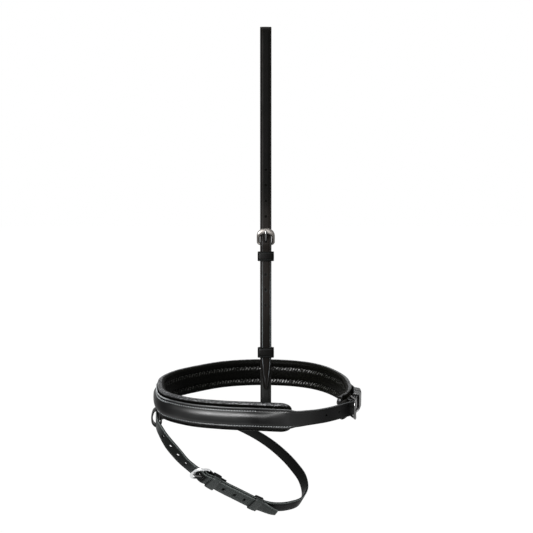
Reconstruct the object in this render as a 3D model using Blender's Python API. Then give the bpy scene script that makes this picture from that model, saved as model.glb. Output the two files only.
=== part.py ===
"""Flash noseband: a padded leather noseband on its head strap, with a flash strap looped through its front.

Lengths below are millimetres. X runs from the nose (left) to the chin (right), Y from the horse's left
side to its right side, Z up. The level of the noseband is Z = 0 and the head strap is at X = 0 until
the pieces are made; they are then moved so that the origin is the inside of the fold over the poll.
"""
import bisect
import math

import bmesh
import bpy
from mathutils import Vector

MM = 0.001
GAP = 0.3            # room between two pieces that touch

# Leather thickness, and the half widths of the straps
STRAP_T = 2.4
KEEPER_T = 1.7
LINING_T = 0.9
BACKING_T = 1.2
LOOP_T = 1.9
HEAD_HALF = 6.35
CHEEK_HALF = 6.1
CHIN_HALF = 8.6
NOSE_HALF = 11.7
FLASH_HALF = 7.95
EDGE_ROUND = 0.5
FOLLOW = 0.18        # how closely a strap's flat facets follow its curve
HEAD_POINT = 36.0    # lengths of the shaped ends
CHIN_POINT = 16.0
FLASH_POINT = 22.0
FLASH_END = 9.5      # width of the flash strap's square end

# Head strap: where it enters the two pads, and the fold that hangs over the poll
HEAD_X = 0.5
HEAD_END_Z = -8.0
HEAD_BEND_Z = 22.0
HEAD_BEND_R = 25.0
FOLD_R = 7.0
FOLD_TOP_Z = 429.0

# Pad section: half height, front plane, sewn channels and rolls
PAD_HALF = 16.9
PAD_FRONT = 3.2
PAD_BACK = 4.5
PAD_BULGE = 0.7      # the roll stands this far in front of the lip
PAD_STRAP_D = -1.6   # the head strap's ends sit this far inside the pad's middle
PAD_CORNER_R = 7.5   # rounded corner of the pad's chin end
NEAR_ROUND = 13.0    # its near end is rounded over this length
NEAR_LOSS = 7.2      # and loses this much of its half height
GUARD_LENGTH = 42.0  # free end of the pad behind the chin buckle
GUARD_HALF = 15.2
PAD_TAPER = 150.0    # the pad reaches its full height this far from the chin
GUARD_THIN = 0.8
GUARD_FRONT = 1.3
GUARD_FLAT = 22.0    # the front plane drops back along this length
GUARD_STEP = 20.0

# Raised middle of the front leather
RAISE = 3.4
RAISE_FRONT = ((8.1, 0.0), (5.4, 0.58), (1.9, 1.0))
RAISE_BACK = ((6.8, 0.0), (4.4, 0.62), (1.5, 1.0))
RAISE_FAR = 26.0     # lengths in which it rises from the chin side and falls towards the near strap
RAISE_NEAR = 24.0
RAISE_PAST = 0.0
WIDE_FAR = 34.0      # lengths in which the leather widens and narrows again
WIDE_BEFORE = 12.0
WIDE_NEAR = 12.0
WIDE_PAST = 6.0
WIDE_TAIL = 26.0      # and a third of the narrowing is spread further along the near strap

# Buckles: heel bar, frame, tongue
BAR_R = 1.5
BAR_D = -1.6         # heel bar behind the strap's middle
LEG_R = 1.35
TOP_BAR_HALF = 3.1
TOP_BAR_R = 1.6
TONGUE_R = 1.1
EYE_ROOM = 0.15
FRAME_SIDE = 1.1     # room between a leg and the strap's edge
CHIN_SIDE = 0.5      # the same room in the two snug keepers at the chin
FRAME_HEEL_R = 2.2   # corners of a frame
FRAME_TOP_R = 5.4
FOLD_MID_R = BAR_R + GAP + STRAP_T / 2
LAYER = STRAP_T + GAP
SLOT_HALF = TONGUE_R + 0.35
SLOT_AHEAD = 8.2     # reach of the tongue's slot before, behind and above the heel bar
SLOT_BEHIND = 6.5
SLOT_TOP = 1.0
SLOT_DEEP = 8.6
RUN_IN = 24.0        # a strap climbs to the buckle in this length
RUN_IN_MID = 0.7
RUN_OUT = 9.0        # and lies flat again in this length

HOLE_R = 1.9
PUNCH_REACH = 4.0
KEEPER_CORNER_R = 0.8

# Middle of the pad, seen from above, from the chin end round the far side and the nose to the near end
PAD_MID = [(84.9, -48.2), (92.6, -38.6), (98.0, -22), (98.3, -2.5), (94.9, 21.4), (85.4, 43.1), (72, 61.5),
           (57.6, 73), (42.9, 80), (13.1, 86.5), (-16.9, 87), (-53.9, 79), (-84, 62), (-113.2, 37.4),
           (-124.1, 14.4), (-123.9, -6), (-116.4, -35.8), (-91, -56.6), (-49, -69.5), (-5, -74.8), (10, -76.9),
           (29.5, -79)]
SEWN_FROM = (94.9, 21.4)   # from here on the front leather is sewn to the pad
SEWN_STEP = 12.0

# Middle of the front leather where it is free of the pad: chin chape, then the near strap to the chin
CHAPE_RUN = [(98.8, -46), (100.3, -40.4), (103.1, -30.5), (106.7, -17.5), (106.6, -1)]
NEAR_RUN = [(38.8, -82.2), (46, -79.6), (59.5, -74.7), (73.4, -67.3), (82, -61), (91.2, -52.8)]

# Flash strap: middle of the strap and the direction of its width, from the buckle round the loop
FLASH_N = (0.61, -0.51, 0.60)
FRONT_N = (0.64, -0.44, 0.63)
BUCKLE_N = (0.555, -0.455, 0.70)
FLASH_RUN = [((-72.3, -22.6, -93.6), BUCKLE_N), ((-37, -14.2, -118.1), (0.56, -0.37, 0.74)),
             ((6, 1.0, -143.7), (0.5, -0.37, 0.78)), ((17.5, 8.2, -147.4), (0.43, -0.36, 0.82)),
             ((28.7, 16.8, -149.9), (0.36, -0.35, 0.86)), ((43.4, 32.1, -150.6), (0.36, -0.35, 0.86)),
             ((49.9, 49, -143.7), (0.4, -0.38, 0.83)), ((46.6, 60.3, -131.8), (0.47, -0.43, 0.77)),
             ((36.7, 64.8, -118.4), (0.57, -0.49, 0.66)), ((14.4, 67.8, -95.7), FLASH_N),
             ((-32.4, 61.4, -63.0), FLASH_N), ((-70, 49, -45), (0.52, -0.5, 0.69)),
             ((-101, 32, -33), (0.25, -0.35, 0.9)), ((-121.2, 15, -27.7), (0.05, -0.1, 1)),
             ((-128.7, 4, -26.5), (0, -0.04, 1)), ((-129.5, -5, -26.4), (0, -0.12, 0.99)),
             ((-128.8, -13.5, -29.4), (0.1, -0.46, 0.88)), ((-122.9, -21, -39.5), (0.34, -0.58, 0.74)),
             ((-114.6, -25.6, -51.1), (0.5, -0.48, 0.72)), ((-107.7, -25.8, -60.3), FRONT_N),
             ((-94.2, -24.6, -77.0), (0.59, -0.53, 0.61))]

LOOP_Y = -2.0        # the flash loop hangs under the front of the noseband here
LOOP_HALF = 5.5      # half its width along the noseband

for old in list(bpy.data.objects):
    bpy.data.objects.remove(old)


def material(name, colour, roughness, metallic=0.0):
    """A plain Principled material; colour is linear red, green, blue."""
    made = bpy.data.materials.new(name)
    made.use_nodes = True
    shader = made.node_tree.nodes["Principled BSDF"]
    shader.inputs["Base Color"].default_value = (*colour, 1.0)
    shader.inputs["Roughness"].default_value = roughness
    shader.inputs["Metallic"].default_value = metallic
    made.diffuse_color = (*colour, 1.0)
    return made


STRAP_BLACK = material("black_bridle_leather", (0.010, 0.010, 0.009), 0.45)
NOSE_BLACK = material("glossy_black_leather", (0.012, 0.013, 0.013), 0.32)
FLASH_BLACK = material("waxed_black_leather", (0.022, 0.026, 0.026), 0.5)
SOFT_BLACK = material("soft_black_lining", (0.008, 0.009, 0.008), 0.65)
BACKING_BLACK = material("black_backing_leather", (0.012, 0.012, 0.011), 0.6)
FOAM_GREY = material("grey_foam", (0.16, 0.16, 0.16), 0.9)
CORE_TAN = material("tan_leather_filler", (0.30, 0.18, 0.09), 0.8)
STEEL = material("polished_stainless_steel", (0.72, 0.72, 0.73), 0.16, 1.0)


def smooth(t):
    """Ease from 0 to 1 with level ends."""
    t = max(0.0, min(1.0, t))
    return t * t * (3 - 2 * t)


def curve_through(points, closed=False, pieces=10):
    """A smooth curve through points of any size, as many short steps."""
    points = [Vector(p) for p in points]
    count = len(points)
    last = count if closed else count - 1
    chord = [(points[(i + 1) % count] - points[i]).length for i in range(last)]

    def slope(i):
        if not closed and i == 0:
            return (points[1] - points[0]) / chord[0]
        if not closed and i == count - 1:
            return (points[-1] - points[-2]) / chord[-1]
        before, after = chord[i - 1], chord[i % last]
        back = (points[i % count] - points[i - 1]) / before
        ahead = (points[(i + 1) % count] - points[i % count]) / after
        return (back * after + ahead * before) / (before + after)

    made = []
    for i in range(last):
        start, end = points[i], points[(i + 1) % count]
        leave = slope(i) * chord[i]
        arrive = slope((i + 1) % count if closed else i + 1) * chord[i]
        for k in range(pieces):
            t = k / pieces
            made.append(start * (2 * t ** 3 - 3 * t ** 2 + 1) + leave * (t ** 3 - 2 * t ** 2 + t)
                        + end * (3 * t ** 2 - 2 * t ** 3) + arrive * (t ** 3 - t ** 2))
    made.append(points[0] if closed else points[-1])
    return made


class Line:
    """A curve in space measured by its length, with the width direction and the outer side at each place."""

    def __init__(self, points, across):
        self.points = points
        self.width = across
        self.marks = [0.0]
        for one, two in zip(points, points[1:]):
            self.marks.append(self.marks[-1] + (two - one).length)
        self.length = self.marks[-1]
        self.closed = (points[0] - points[-1]).length < 1e-6

    def tangent(self, i):
        last = len(self.points) - 1
        if self.closed:
            return (self.points[(i + 1) % last] - self.points[(i - 1) % last]).normalized()
        return (self.points[min(i + 1, last)] - self.points[max(i - 1, 0)]).normalized()

    def at(self, s):
        """Place, direction, outward direction and width direction at the length s."""
        over = 0.0
        if self.closed:
            s %= self.length
        else:
            over = s - max(0.0, min(self.length, s))
            s -= over
        i = min(max(bisect.bisect_right(self.marks, s) - 1, 0), len(self.points) - 2)
        t = (s - self.marks[i]) / (self.marks[i + 1] - self.marks[i])
        along = self.tangent(i).lerp(self.tangent(i + 1), t).normalized()
        width = self.width[i].lerp(self.width[i + 1], t)
        width = (width - along * width.dot(along)).normalized()
        out = along.cross(width)
        return self.points[i].lerp(self.points[i + 1], t) + along * over, along, out, width

    def place(self, s, d=0.0, a=0.0):
        """The point at length s, moved d outward and a along the width."""
        point, _, out, width = self.at(s)
        return point + out * d + width * a

    def nearest(self, target):
        """The length at which the line comes nearest to a point."""
        best = min(range(len(self.points)), key=lambda i: (self.points[i] - Vector(target)).length)
        return self.marks[best]


class Spot:
    """A fixed set of axes on a line: x along it, d outward, a along its width."""

    def __init__(self, line, s):
        self.origin, self.x, self.d, self.a = line.at(s)

    def put(self, x, d=0.0, a=0.0):
        return self.origin + self.x * x + self.d * d + self.a * a


def flat_line(points, closed=False):
    """A level line at the noseband's height, its width upright."""
    curve = curve_through([(x, y, 0.0) for x, y in points], closed)
    return Line(curve, [Vector((0, 0, 1))] * len(curve))


def rounded(points, radii, pieces=8):
    """A chain of straight runs whose corners are arcs."""
    made = [Vector(points[0])]
    for before, corner, after, radius in zip(points, points[1:], points[2:], radii):
        corner = Vector(corner)
        back = (Vector(before) - corner).normalized()
        ahead = (Vector(after) - corner).normalized()
        half = back.angle(ahead) / 2
        centre = corner + (back + ahead).normalized() * radius / math.sin(half)
        first = corner + back * radius / math.tan(half) - centre
        last = corner + ahead * radius / math.tan(half) - centre
        turn = first.angle(last)
        for k in range(pieces + 1):
            t = k / pieces
            blend = first * math.sin((1 - t) * turn) + last * math.sin(t * turn)
            made.append(centre + blend / math.sin(turn))
    made.append(Vector(points[-1]))
    return made


# The lines that the straps follow
pad_line = flat_line(PAD_MID)
LEATHER_D = PAD_FRONT + GAP + STRAP_T / 2
sewn_from = pad_line.nearest((*SEWN_FROM, 0.0))
sewn_count = round((pad_line.length - sewn_from) / SEWN_STEP)
sewn_points = [pad_line.place(sewn_from + (pad_line.length - sewn_from) * k / sewn_count, LEATHER_D)
               for k in range(sewn_count + 1)]
nose_line = flat_line(CHAPE_RUN + [(p.x, p.y) for p in sewn_points] + NEAR_RUN, closed=True)

near_y = pad_line.place(pad_line.nearest((0, -75, 0)), PAD_STRAP_D).y
far_y = pad_line.place(pad_line.nearest((0, 87, 0)), PAD_STRAP_D).y
apex_y = (near_y + far_y) / 2
lean = math.atan2((far_y - near_y) / 2, FOLD_TOP_Z - HEAD_BEND_Z)
for _ in range(20):
    apex_z = FOLD_TOP_Z - FOLD_R + FOLD_R / math.sin(lean)
    lean = math.atan2((far_y - near_y) / 2, apex_z - HEAD_BEND_Z)
head_corners = [(HEAD_X, far_y, HEAD_END_Z), (HEAD_X, far_y, HEAD_BEND_Z), (HEAD_X, apex_y, apex_z),
                (HEAD_X, near_y, HEAD_BEND_Z), (HEAD_X, near_y, HEAD_END_Z)]
head_points = rounded(head_corners, [HEAD_BEND_R, FOLD_R, HEAD_BEND_R])
head_line = Line(head_points, [Vector((1, 0, 0))] * len(head_points))

flash_steps = curve_through([(*place, *across) for place, across in FLASH_RUN], closed=True)
flash_line = Line([Vector(step[:3]) for step in flash_steps],
                  [Vector(step[3:]).normalized() for step in flash_steps])

POLL = Vector((HEAD_X, apex_y, FOLD_TOP_Z - STRAP_T / 2))


def make(name, mesh, look):
    """Turn a working mesh into a named object in metres, measured from the poll."""
    bmesh.ops.recalc_face_normals(mesh, faces=mesh.faces)
    for vert in mesh.verts:
        vert.co = (vert.co - POLL) * MM
    data = bpy.data.meshes.new(name)
    mesh.to_mesh(data)
    mesh.free()
    made = bpy.data.objects.new(name, data)
    bpy.context.collection.objects.link(made)
    data.materials.append(look)
    return made


def skin(mesh, rings, closed=False):
    """Join rings of points, each as long as the next, into one closed surface."""
    loops = [[mesh.verts.new(p) for p in ring] for ring in rings]
    pairs = list(zip(loops, loops[1:]))
    if closed:
        pairs.append((loops[-1], loops[0]))
    for one, two in pairs:
        for i in range(len(one)):
            j = (i + 1) % len(one)
            mesh.faces.new((one[i], one[j], two[j], two[i]))
    if not closed:
        mesh.faces.new(loops[0][::-1])
        mesh.faces.new(loops[-1])


def eased(knots, step=1.0):
    """Length and offset pairs along a strap; the offset eases from knot to knot."""
    made = []
    for (s1, d1), (s2, d2) in zip(knots, knots[1:]):
        count = max(1, round(abs(s2 - s1) / step))
        made += [(s1 + (s2 - s1) * k / count, d1 + (d2 - d1) * smooth(k / count)) for k in range(count)]
    return made + [knots[-1]]


def needed(points, first, last):
    """Which of many close points between two places are needed to follow them to within FOLLOW."""
    span = points[last] - points[first]
    unit = span.normalized()
    worst, at = 0.0, first
    for i in range(first + 1, last):
        off = points[i] - points[first]
        miss = (off - unit * off.dot(unit)).length
        if miss > worst:
            worst, at = miss, i
    if worst < FOLLOW:
        return [first]
    return needed(points, first, at) + needed(points, at, last)


def chosen(points, keep):
    """The stations of a sweep: the kept places and those between them that the curve needs."""
    stops = sorted({0, len(points) - 1} | keep)
    picked = []
    for first, last in zip(stops, stops[1:]):
        picked += needed(points, first, last)
    return picked + [len(points) - 1]


def strip_outline(half, thick=STRAP_T, cut=EDGE_ROUND):
    """Section of a flat strap: across its width, and through it."""
    t = thick / 2
    return [(-half + cut, -t), (half - cut, -t), (half, -t + cut), (half, t - cut),
            (half - cut, t), (-half + cut, t), (-half, t - cut), (-half, -t + cut)]


def sweep(name, line, path, outline, look, keep_at=()):
    """A strap along (length, offset) pairs; outline(s, run, total) gives its section."""
    points = [line.place(s, d) for s, d in path]
    runs = [0.0]
    for one, two in zip(points, points[1:]):
        runs.append(runs[-1] + (two - one).length)
    keep = {min(range(len(path)), key=lambda i, want=want: abs(path[i][0] - want)) for want in keep_at}
    mesh = bmesh.new()
    rings = []
    for i in chosen(points, keep):
        along = (points[min(i + 1, len(points) - 1)] - points[max(i - 1, 0)]).normalized()
        width = line.at(path[i][0])[3]
        width = (width - along * width.dot(along)).normalized()
        out = along.cross(width)
        rings.append([points[i] + width * a + out * b for a, b in outline(path[i][0], runs[i], runs[-1])])
    skin(mesh, rings)
    return make(name, mesh, look)


def folded(at, flap):
    """The part of a strap's path that turns round the heel bar: flap end first, then the fold."""
    low = BAR_D - FOLD_MID_R
    made = eased([(at + flap, -LAYER), (at + RUN_OUT, -LAYER), (at, low)])
    steps = 12
    for k in range(1, steps):
        angle = math.pi * k / steps
        made.append((at - FOLD_MID_R * math.sin(angle), BAR_D - FOLD_MID_R * math.cos(angle)))
    return made + eased([(at, BAR_D + FOLD_MID_R), (at + RUN_OUT, 0.0)])


def over_buckle(at, tip, lift=0.0, lift_run=0.0):
    """The part of a strap's path that comes through the buckle, lies on the other strap and may stand off."""
    return [(at - RUN_IN, 0.0), (at - RUN_IN / 2, RUN_IN_MID), (at, BAR_D + FOLD_MID_R + LAYER),
            (at + RUN_OUT, LAYER), (at + tip - lift_run - 1.0, LAYER), (at + tip, LAYER + lift)]


def solid_cutter(name, mesh):
    """A hidden cutting shape."""
    made = make(name, mesh, STEEL)
    made.hide_render = True
    made.display_type = "WIRE"
    return made


def cut(target, cutter):
    """Take the cutter away from the target."""
    step = target.modifiers.new(cutter.name, "BOOLEAN")
    step.operation = "DIFFERENCE"
    step.solver = "EXACT"
    step.object = cutter


def punches(name, line, places, sides=12):
    """Round punches through a strap at (length, offset) places."""
    turns = [2 * math.pi * k / sides for k in range(sides)]
    mesh = bmesh.new()
    for s, d in places:
        spot = Spot(line, s)
        skin(mesh, [[spot.put(HOLE_R * math.cos(turn), d + reach, HOLE_R * math.sin(turn)) for turn in turns]
                    for reach in (-PUNCH_REACH, PUNCH_REACH)])
    return solid_cutter(name, mesh)


def block(name, spot, xs, ds, widths):
    """A box-shaped cutter between two limits along, outward and across a spot."""
    mesh = bmesh.new()
    rings = [[spot.put(x, ds[0], widths[0]), spot.put(x, ds[1], widths[0]), spot.put(x, ds[1], widths[1]),
              spot.put(x, ds[0], widths[1])] for x in xs]
    skin(mesh, rings)
    return solid_cutter(name, mesh)


def rounded_box(half_a, low_d, high_d, radius, pieces=3):
    """Outline of a rounded rectangle, as (across, outward) points."""
    made = []
    corners = ((half_a, high_d, 0), (-half_a, high_d, 90), (-half_a, low_d, 180), (half_a, low_d, 270))
    for ca, cd, start in corners:
        ca -= math.copysign(radius, ca)
        cd += radius if start >= 180 else -radius
        for k in range(pieces + 1):
            angle = math.radians(start + 90 * k / pieces)
            made.append((ca + radius * math.cos(angle), cd + radius * math.sin(angle)))
    return made


def band(name, line, lengths, outer, inner, look):
    """A closed loop of leather round a strap, from its outer and inner outlines."""
    mesh = bmesh.new()
    rings = []
    for s in lengths:
        rings.append([[mesh.verts.new(line.place(s, d, a)) for a, d in side] for side in (outer, inner)])
    count = len(outer)
    for i in range(count):
        j = (i + 1) % count
        for (out1, in1), (out2, in2) in zip(rings, rings[1:]):
            mesh.faces.new((out1[i], out1[j], out2[j], out2[i]))
            mesh.faces.new((in1[j], in1[i], in2[i], in2[j]))
        mesh.faces.new((rings[0][0][j], rings[0][0][i], rings[0][1][i], rings[0][1][j]))
        mesh.faces.new((rings[-1][0][i], rings[-1][0][j], rings[-1][1][j], rings[-1][1][i]))
    return make(name, mesh, look)


def keeper(name, line, middle, half_length, half, low, high, look, room=GAP, shift=0.0):
    """A keeper loop: half is its inner half width, low and high the faces it goes round."""
    inner = rounded_box(half, low - room, high + room, KEEPER_CORNER_R)
    outer = rounded_box(half + KEEPER_T, low - room - KEEPER_T, high + room + KEEPER_T,
                        KEEPER_CORNER_R + KEEPER_T * 0.6)
    inner, outer = ([(a + shift, d) for a, d in side] for side in (inner, outer))
    steps = 2 if line is head_line else 4
    lengths = [middle - half_length + 2 * half_length * k / (steps - 1) for k in range(steps)]
    return band(name, line, lengths, outer, inner, look)


def buckle_frame(name, spot, half, length, top_d):
    """A frame bent outward from its heel bar, with a tall domed bar across its top."""
    mid = half + FRAME_SIDE + LEG_R
    corners = ((mid, 0.0, FRAME_HEEL_R, -90), (mid, length, FRAME_TOP_R, 0),
               (-mid, length, FRAME_TOP_R, 90), (-mid, 0.0, FRAME_HEEL_R, 180))
    track = []
    for ca, cf, radius, start in corners:
        ca -= math.copysign(radius, ca)
        cf += radius if cf == 0.0 else -radius
        arc = [(ca + radius * math.cos(math.radians(start + 90 * k / 4)),
                cf + radius * math.sin(math.radians(start + 90 * k / 4))) for k in range(5)]
        if start == 0:
            track += [(mid, length * share) for share in (0.32, 0.5)]
        if start == 180:
            track += [(-mid, length * share) for share in (0.5, 0.32)]
        track += arc
    rise = length - BAR_R

    def height(f):
        return BAR_D + (top_d - BAR_D) * smooth(f / rise)

    mesh = bmesh.new()
    places = [spot.put(-f, height(f), a) for a, f in track]
    rings = []
    for i, (_, f) in enumerate(track):
        along = (places[(i + 1) % len(places)] - places[i - 1]).normalized()
        steep = (height(f + 0.05) - height(f - 0.05)) / 0.1
        face = (spot.d + spot.x * steep).normalized()
        side = along.cross(face).normalized()
        top = smooth((f - length + FRAME_TOP_R) / FRAME_TOP_R)
        heel = 1 - smooth(f / FRAME_HEEL_R)
        tall = LEG_R + (TOP_BAR_HALF - LEG_R) * top + (BAR_R - LEG_R) * heel
        deep = LEG_R + (TOP_BAR_R - LEG_R) * top + (BAR_R - LEG_R) * heel
        rings.append([places[i] + side * tall * math.cos(math.pi * k / 4)
                      + face * deep * math.sin(math.pi * k / 4) for k in range(8)])
    skin(mesh, rings, closed=True)
    return make(name, mesh, STEEL)


def buckle_tongue(name, spot, length, top_d):
    """A round tongue whose eye turns on the heel bar and whose tip rests on the top bar."""
    eye = BAR_R + EYE_ROOM + TONGUE_R
    rest_x, rest_d = 0.6 + TOP_BAR_HALF - length, top_d + TOP_BAR_R + GAP + TONGUE_R
    reach = math.hypot(rest_x, rest_d - BAR_D)
    heading = math.atan2(rest_d - BAR_D, rest_x) + math.asin(eye / reach)
    start = heading - math.pi / 2
    sweep_angle = math.radians(270)
    track = []
    for k in range(13):
        angle = start - sweep_angle * (1 - k / 12)
        track.append((eye * math.cos(angle), BAR_D + eye * math.sin(angle), TONGUE_R))
    track.append((rest_x, rest_d, TONGUE_R))
    track.append((-length, rest_d, TONGUE_R * 0.95))
    track.append((-length - 0.8, rest_d - 0.1, TONGUE_R * 0.45))
    mesh = bmesh.new()
    rings = []
    for i, (x, d, radius) in enumerate(track):
        one, two = track[max(i - 1, 0)], track[min(i + 1, len(track) - 1)]
        along = (spot.x * (two[0] - one[0]) + spot.d * (two[1] - one[1])).normalized()
        side = along.cross(spot.a)
        rings.append([spot.put(x, d) + side * radius * math.cos(math.pi * k / 4)
                      + spot.a * radius * math.sin(math.pi * k / 4) for k in range(8)])
    skin(mesh, rings)
    return make(name, mesh, STEEL)


def tongue_slots(name, line, at, lower, billet):
    """Cut the slot for the tongue in the fold and, above it, the long hole in the strap on top."""
    spot = Spot(line, at)
    behind = [SLOT_BEHIND + (SLOT_TOP - SLOT_BEHIND) * k / 4 for k in range(5)]
    profile = [(-SLOT_AHEAD, -SLOT_DEEP), (SLOT_BEHIND, -SLOT_DEEP)]
    profile += [(x, (BAR_D + FOLD_MID_R) * (1 - smooth(x / RUN_OUT)) + LAYER / 2) for x in behind]
    profile += [(SLOT_TOP, SLOT_DEEP), (-SLOT_AHEAD, SLOT_DEEP)]
    mesh = bmesh.new()
    skin(mesh, [[spot.put(x, d, a) for x, d in profile] for a in (-SLOT_HALF, SLOT_HALF)])
    slot = solid_cutter(name + "_slot", mesh)
    for strap in {lower, billet}:
        cut(strap, slot)


# Head strap and near cheek strap
HEAD_BUCKLE_UP = 171.5       # the buckle's height above the pad's bend; the rest is measured from the buckle
HEAD_TIP_BELOW = 163.5
HEAD_KEEPER_BELOW = 14.0
HEAD_RUNNER_BELOW = 122.0
HEAD_KEEPER_HALF = 5.3
HEAD_RUNNER_HALF = 5.7
HEAD_HOLES_UP = (83.0, 65.5, 47.8, 30.5, -34.5, -51.5, -69.0)
HEAD_TOP_BAR = 14.0
HEAD_TOP_D = 3.9
HEAD_FLAP = 26.0
BILLET_FACE = LAYER + STRAP_T / 2
bend_s = head_line.length - (HEAD_BEND_Z + 2.0 - HEAD_END_Z)
head_s = bend_s - HEAD_BUCKLE_UP


def head_outline(s, run, total):
    """Full width, narrowing to a long point at the tip."""
    left = max(0.0, min(1.0, (total - run) / HEAD_POINT))
    return strip_outline(HEAD_HALF * min(1.0, 0.2 + 0.8 * left ** 0.58))


head_path = eased([(0, 0.0)] + over_buckle(head_s, HEAD_TIP_BELOW))
head_keep = [head_s + HEAD_TIP_BELOW - HEAD_POINT * share for share in (1, 0.75, 0.53, 0.33, 0.19, 0.08, 0.03)]
head_strap = sweep("head_strap", head_line, head_path, head_outline, STRAP_BLACK, head_keep)
cut(head_strap, punches("head_strap_holes", head_line,
                        [(head_s - up, LAYER if up < 0 else 0.0) for up in HEAD_HOLES_UP]))

cheek_path = folded(head_s, HEAD_FLAP) + eased([(head_s + RUN_OUT, 0.0), (head_line.length, 0.0)])[1:]
cheek_strap = sweep("near_cheek_strap", head_line, cheek_path,
                    lambda s, run, total: strip_outline(CHEEK_HALF), STRAP_BLACK)
tongue_slots("head_buckle", head_line, head_s, cheek_strap, head_strap)
head_spot = Spot(head_line, head_s)
buckle_frame("head_buckle_frame", head_spot, HEAD_HALF, HEAD_TOP_BAR, HEAD_TOP_D)
buckle_tongue("head_buckle_tongue", head_spot, HEAD_TOP_BAR, HEAD_TOP_D)
keeper("head_fixed_keeper", head_line, head_s + HEAD_KEEPER_BELOW, HEAD_KEEPER_HALF, HEAD_HALF + FRAME_SIDE,
       -BILLET_FACE, BILLET_FACE + GAP, STRAP_BLACK)
keeper("head_running_keeper", head_line, head_s + HEAD_RUNNER_BELOW, HEAD_RUNNER_HALF, HEAD_HALF + FRAME_SIDE,
       -STRAP_T / 2, BILLET_FACE, STRAP_BLACK)


# Pad, lining, backing and raised filler of the noseband
def corner_loss(left, length, depth):
    """How much a rounded corner takes from the pad's half height near its end."""
    share = 1 - min(left, length) / length
    return depth * (1 - math.sqrt(1 - share ** 2))


def pad_size(s):
    """Half height and thickness share of the pad at a length from the chin end."""
    thick = 1.0
    half = GUARD_HALF + (PAD_HALF - GUARD_HALF) * smooth(s / PAD_TAPER)
    if s < GUARD_LENGTH:
        thick = GUARD_THIN + (1 - GUARD_THIN) * math.sqrt(s / GUARD_LENGTH)
    left = pad_line.length - s
    if left < PAD_CORNER_R:
        thick *= 0.8 + 0.2 * math.sqrt(left / PAD_CORNER_R)
    half -= corner_loss(s, PAD_CORNER_R, PAD_CORNER_R) + corner_loss(left, NEAR_ROUND, NEAR_LOSS)
    return half, thick


def pad_front(s):
    """Front plane of the pad; it drops back behind the chin buckle."""
    return GUARD_FRONT + (PAD_FRONT - GUARD_FRONT) * smooth((s - GUARD_FLAT) / GUARD_STEP)


def pad_half_outline(s):
    """Upper half of the pad's outside, front lip first, then the roll, the sewn channel and the middle."""
    half, thick = pad_size(s)
    front = pad_front(s)
    back = PAD_BACK * thick
    bulge = PAD_BULGE * smooth((half / PAD_HALF - 0.9) / 0.1)
    rows = [(0.6, front), (0.75, front), (0.89, front + bulge), (1.0, front * 0.5), (0.965, -0.6 * back),
            (0.79, -back), (0.6, -0.91 * back), (0.475, -0.62 * back), (0.3, -0.87 * back)]
    return [(half * share, d) for share, d in rows]


def shrunk(outline, by):
    """An open outline moved inward by a distance."""
    made = []
    for i, (z, d) in enumerate(outline):
        z1, d1 = outline[max(i - 1, 0)]
        z2, d2 = outline[min(i + 1, len(outline) - 1)]
        run = math.hypot(z2 - z1, d2 - d1)
        made.append((z + (d2 - d1) / run * by, d - (z2 - z1) / run * by))
    return made


def pad_outline(s):
    """The whole outside of the pad from the upper lip round the back to the lower lip."""
    upper = pad_half_outline(s)
    return upper + [(-z, d) for z, d in reversed(upper)]


def pad_lengths(step=11.0, longest=26.0):
    """Lengths along the pad: close at its two shaped ends, at small turns elsewhere."""
    first = [PAD_CORNER_R * share for share in (0, 0.15, 0.5, 1)]
    first += [GUARD_LENGTH * share for share in (0.25, 0.4, 0.6, 0.8)]
    last = [pad_line.length - NEAR_ROUND * share for share in (1.8, 1.0, 0.6, 0.3, 0.1, 0)]
    middle = []
    s = first[-1]
    heading = pad_line.at(s)[1]
    while s < last[0] - 4:
        s += 1.0
        ahead = pad_line.at(s)[1]
        if ahead.angle(heading) > math.radians(step) or s - (middle or first)[-1] > longest:
            middle.append(s)
            heading = ahead
    return first + middle + last


def pad_sweep(name, rows, lengths, look):
    """A sweep along the pad from a function that gives its section as (height, outward) points."""
    mesh = bmesh.new()
    skin(mesh, [[pad_line.place(s, d, z) for z, d in rows(s)] for s in lengths])
    return make(name, mesh, look)


def lining_rows(s):
    """Lining: a skin round the pad, open along the front."""
    outside = pad_outline(s)
    return outside + list(reversed(shrunk(outside, LINING_T)))


def foam_rows(s):
    """Foam inside the lining, its front set back for the backing leather."""
    inside = shrunk(pad_outline(s), LINING_T + 1.6 * GAP)
    front = pad_front(s) - BACKING_T - GAP
    low = inside[0][0] - GAP
    inside[0] = (low, front)
    inside[-1] = (-low, front)
    return inside


def backing_rows(s):
    """Backing leather between the two lips of the lining."""
    half = pad_outline(s)[0][0] - LINING_T
    front = pad_front(s)
    return [(half, front), (half, front - BACKING_T), (-half, front - BACKING_T), (-half, front)]


pad_stations = pad_lengths()
inner_stations = pad_stations[1:-2]
lining = pad_sweep("nose_lining", lining_rows, pad_stations, SOFT_BLACK)
foam = pad_sweep("nose_foam_pad", foam_rows, inner_stations, FOAM_GREY)
backing = pad_sweep("nose_backing", backing_rows, inner_stations, BACKING_BLACK)


# Front leather of the noseband, from the chin chape round the far side and the nose to the near strap's tip
CHIN_ON = 2.5                # the buckle's heel bar is this far along the chape
CHIN_FLAP = 11.5
CHIN_TIP = 56.0
CHIN_TOP_BAR = 15.5
CHIN_TOP_D = 6.2
CHIN_KEEPER = 16.7
CHIN_RUNNER = 28.8
CHIN_KEEPER_HALF = 5.0
CHIN_HOLES_BACK = (-23.8, 28.4, 47.0)
chin_s = nose_line.nearest((*CHAPE_RUN[1], 0)) + CHIN_ON
turn_s = nose_line.length
near_end_s = nose_line.nearest((*PAD_MID[-1], 0))
far_sewn_s = nose_line.nearest(sewn_points[0])


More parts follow.
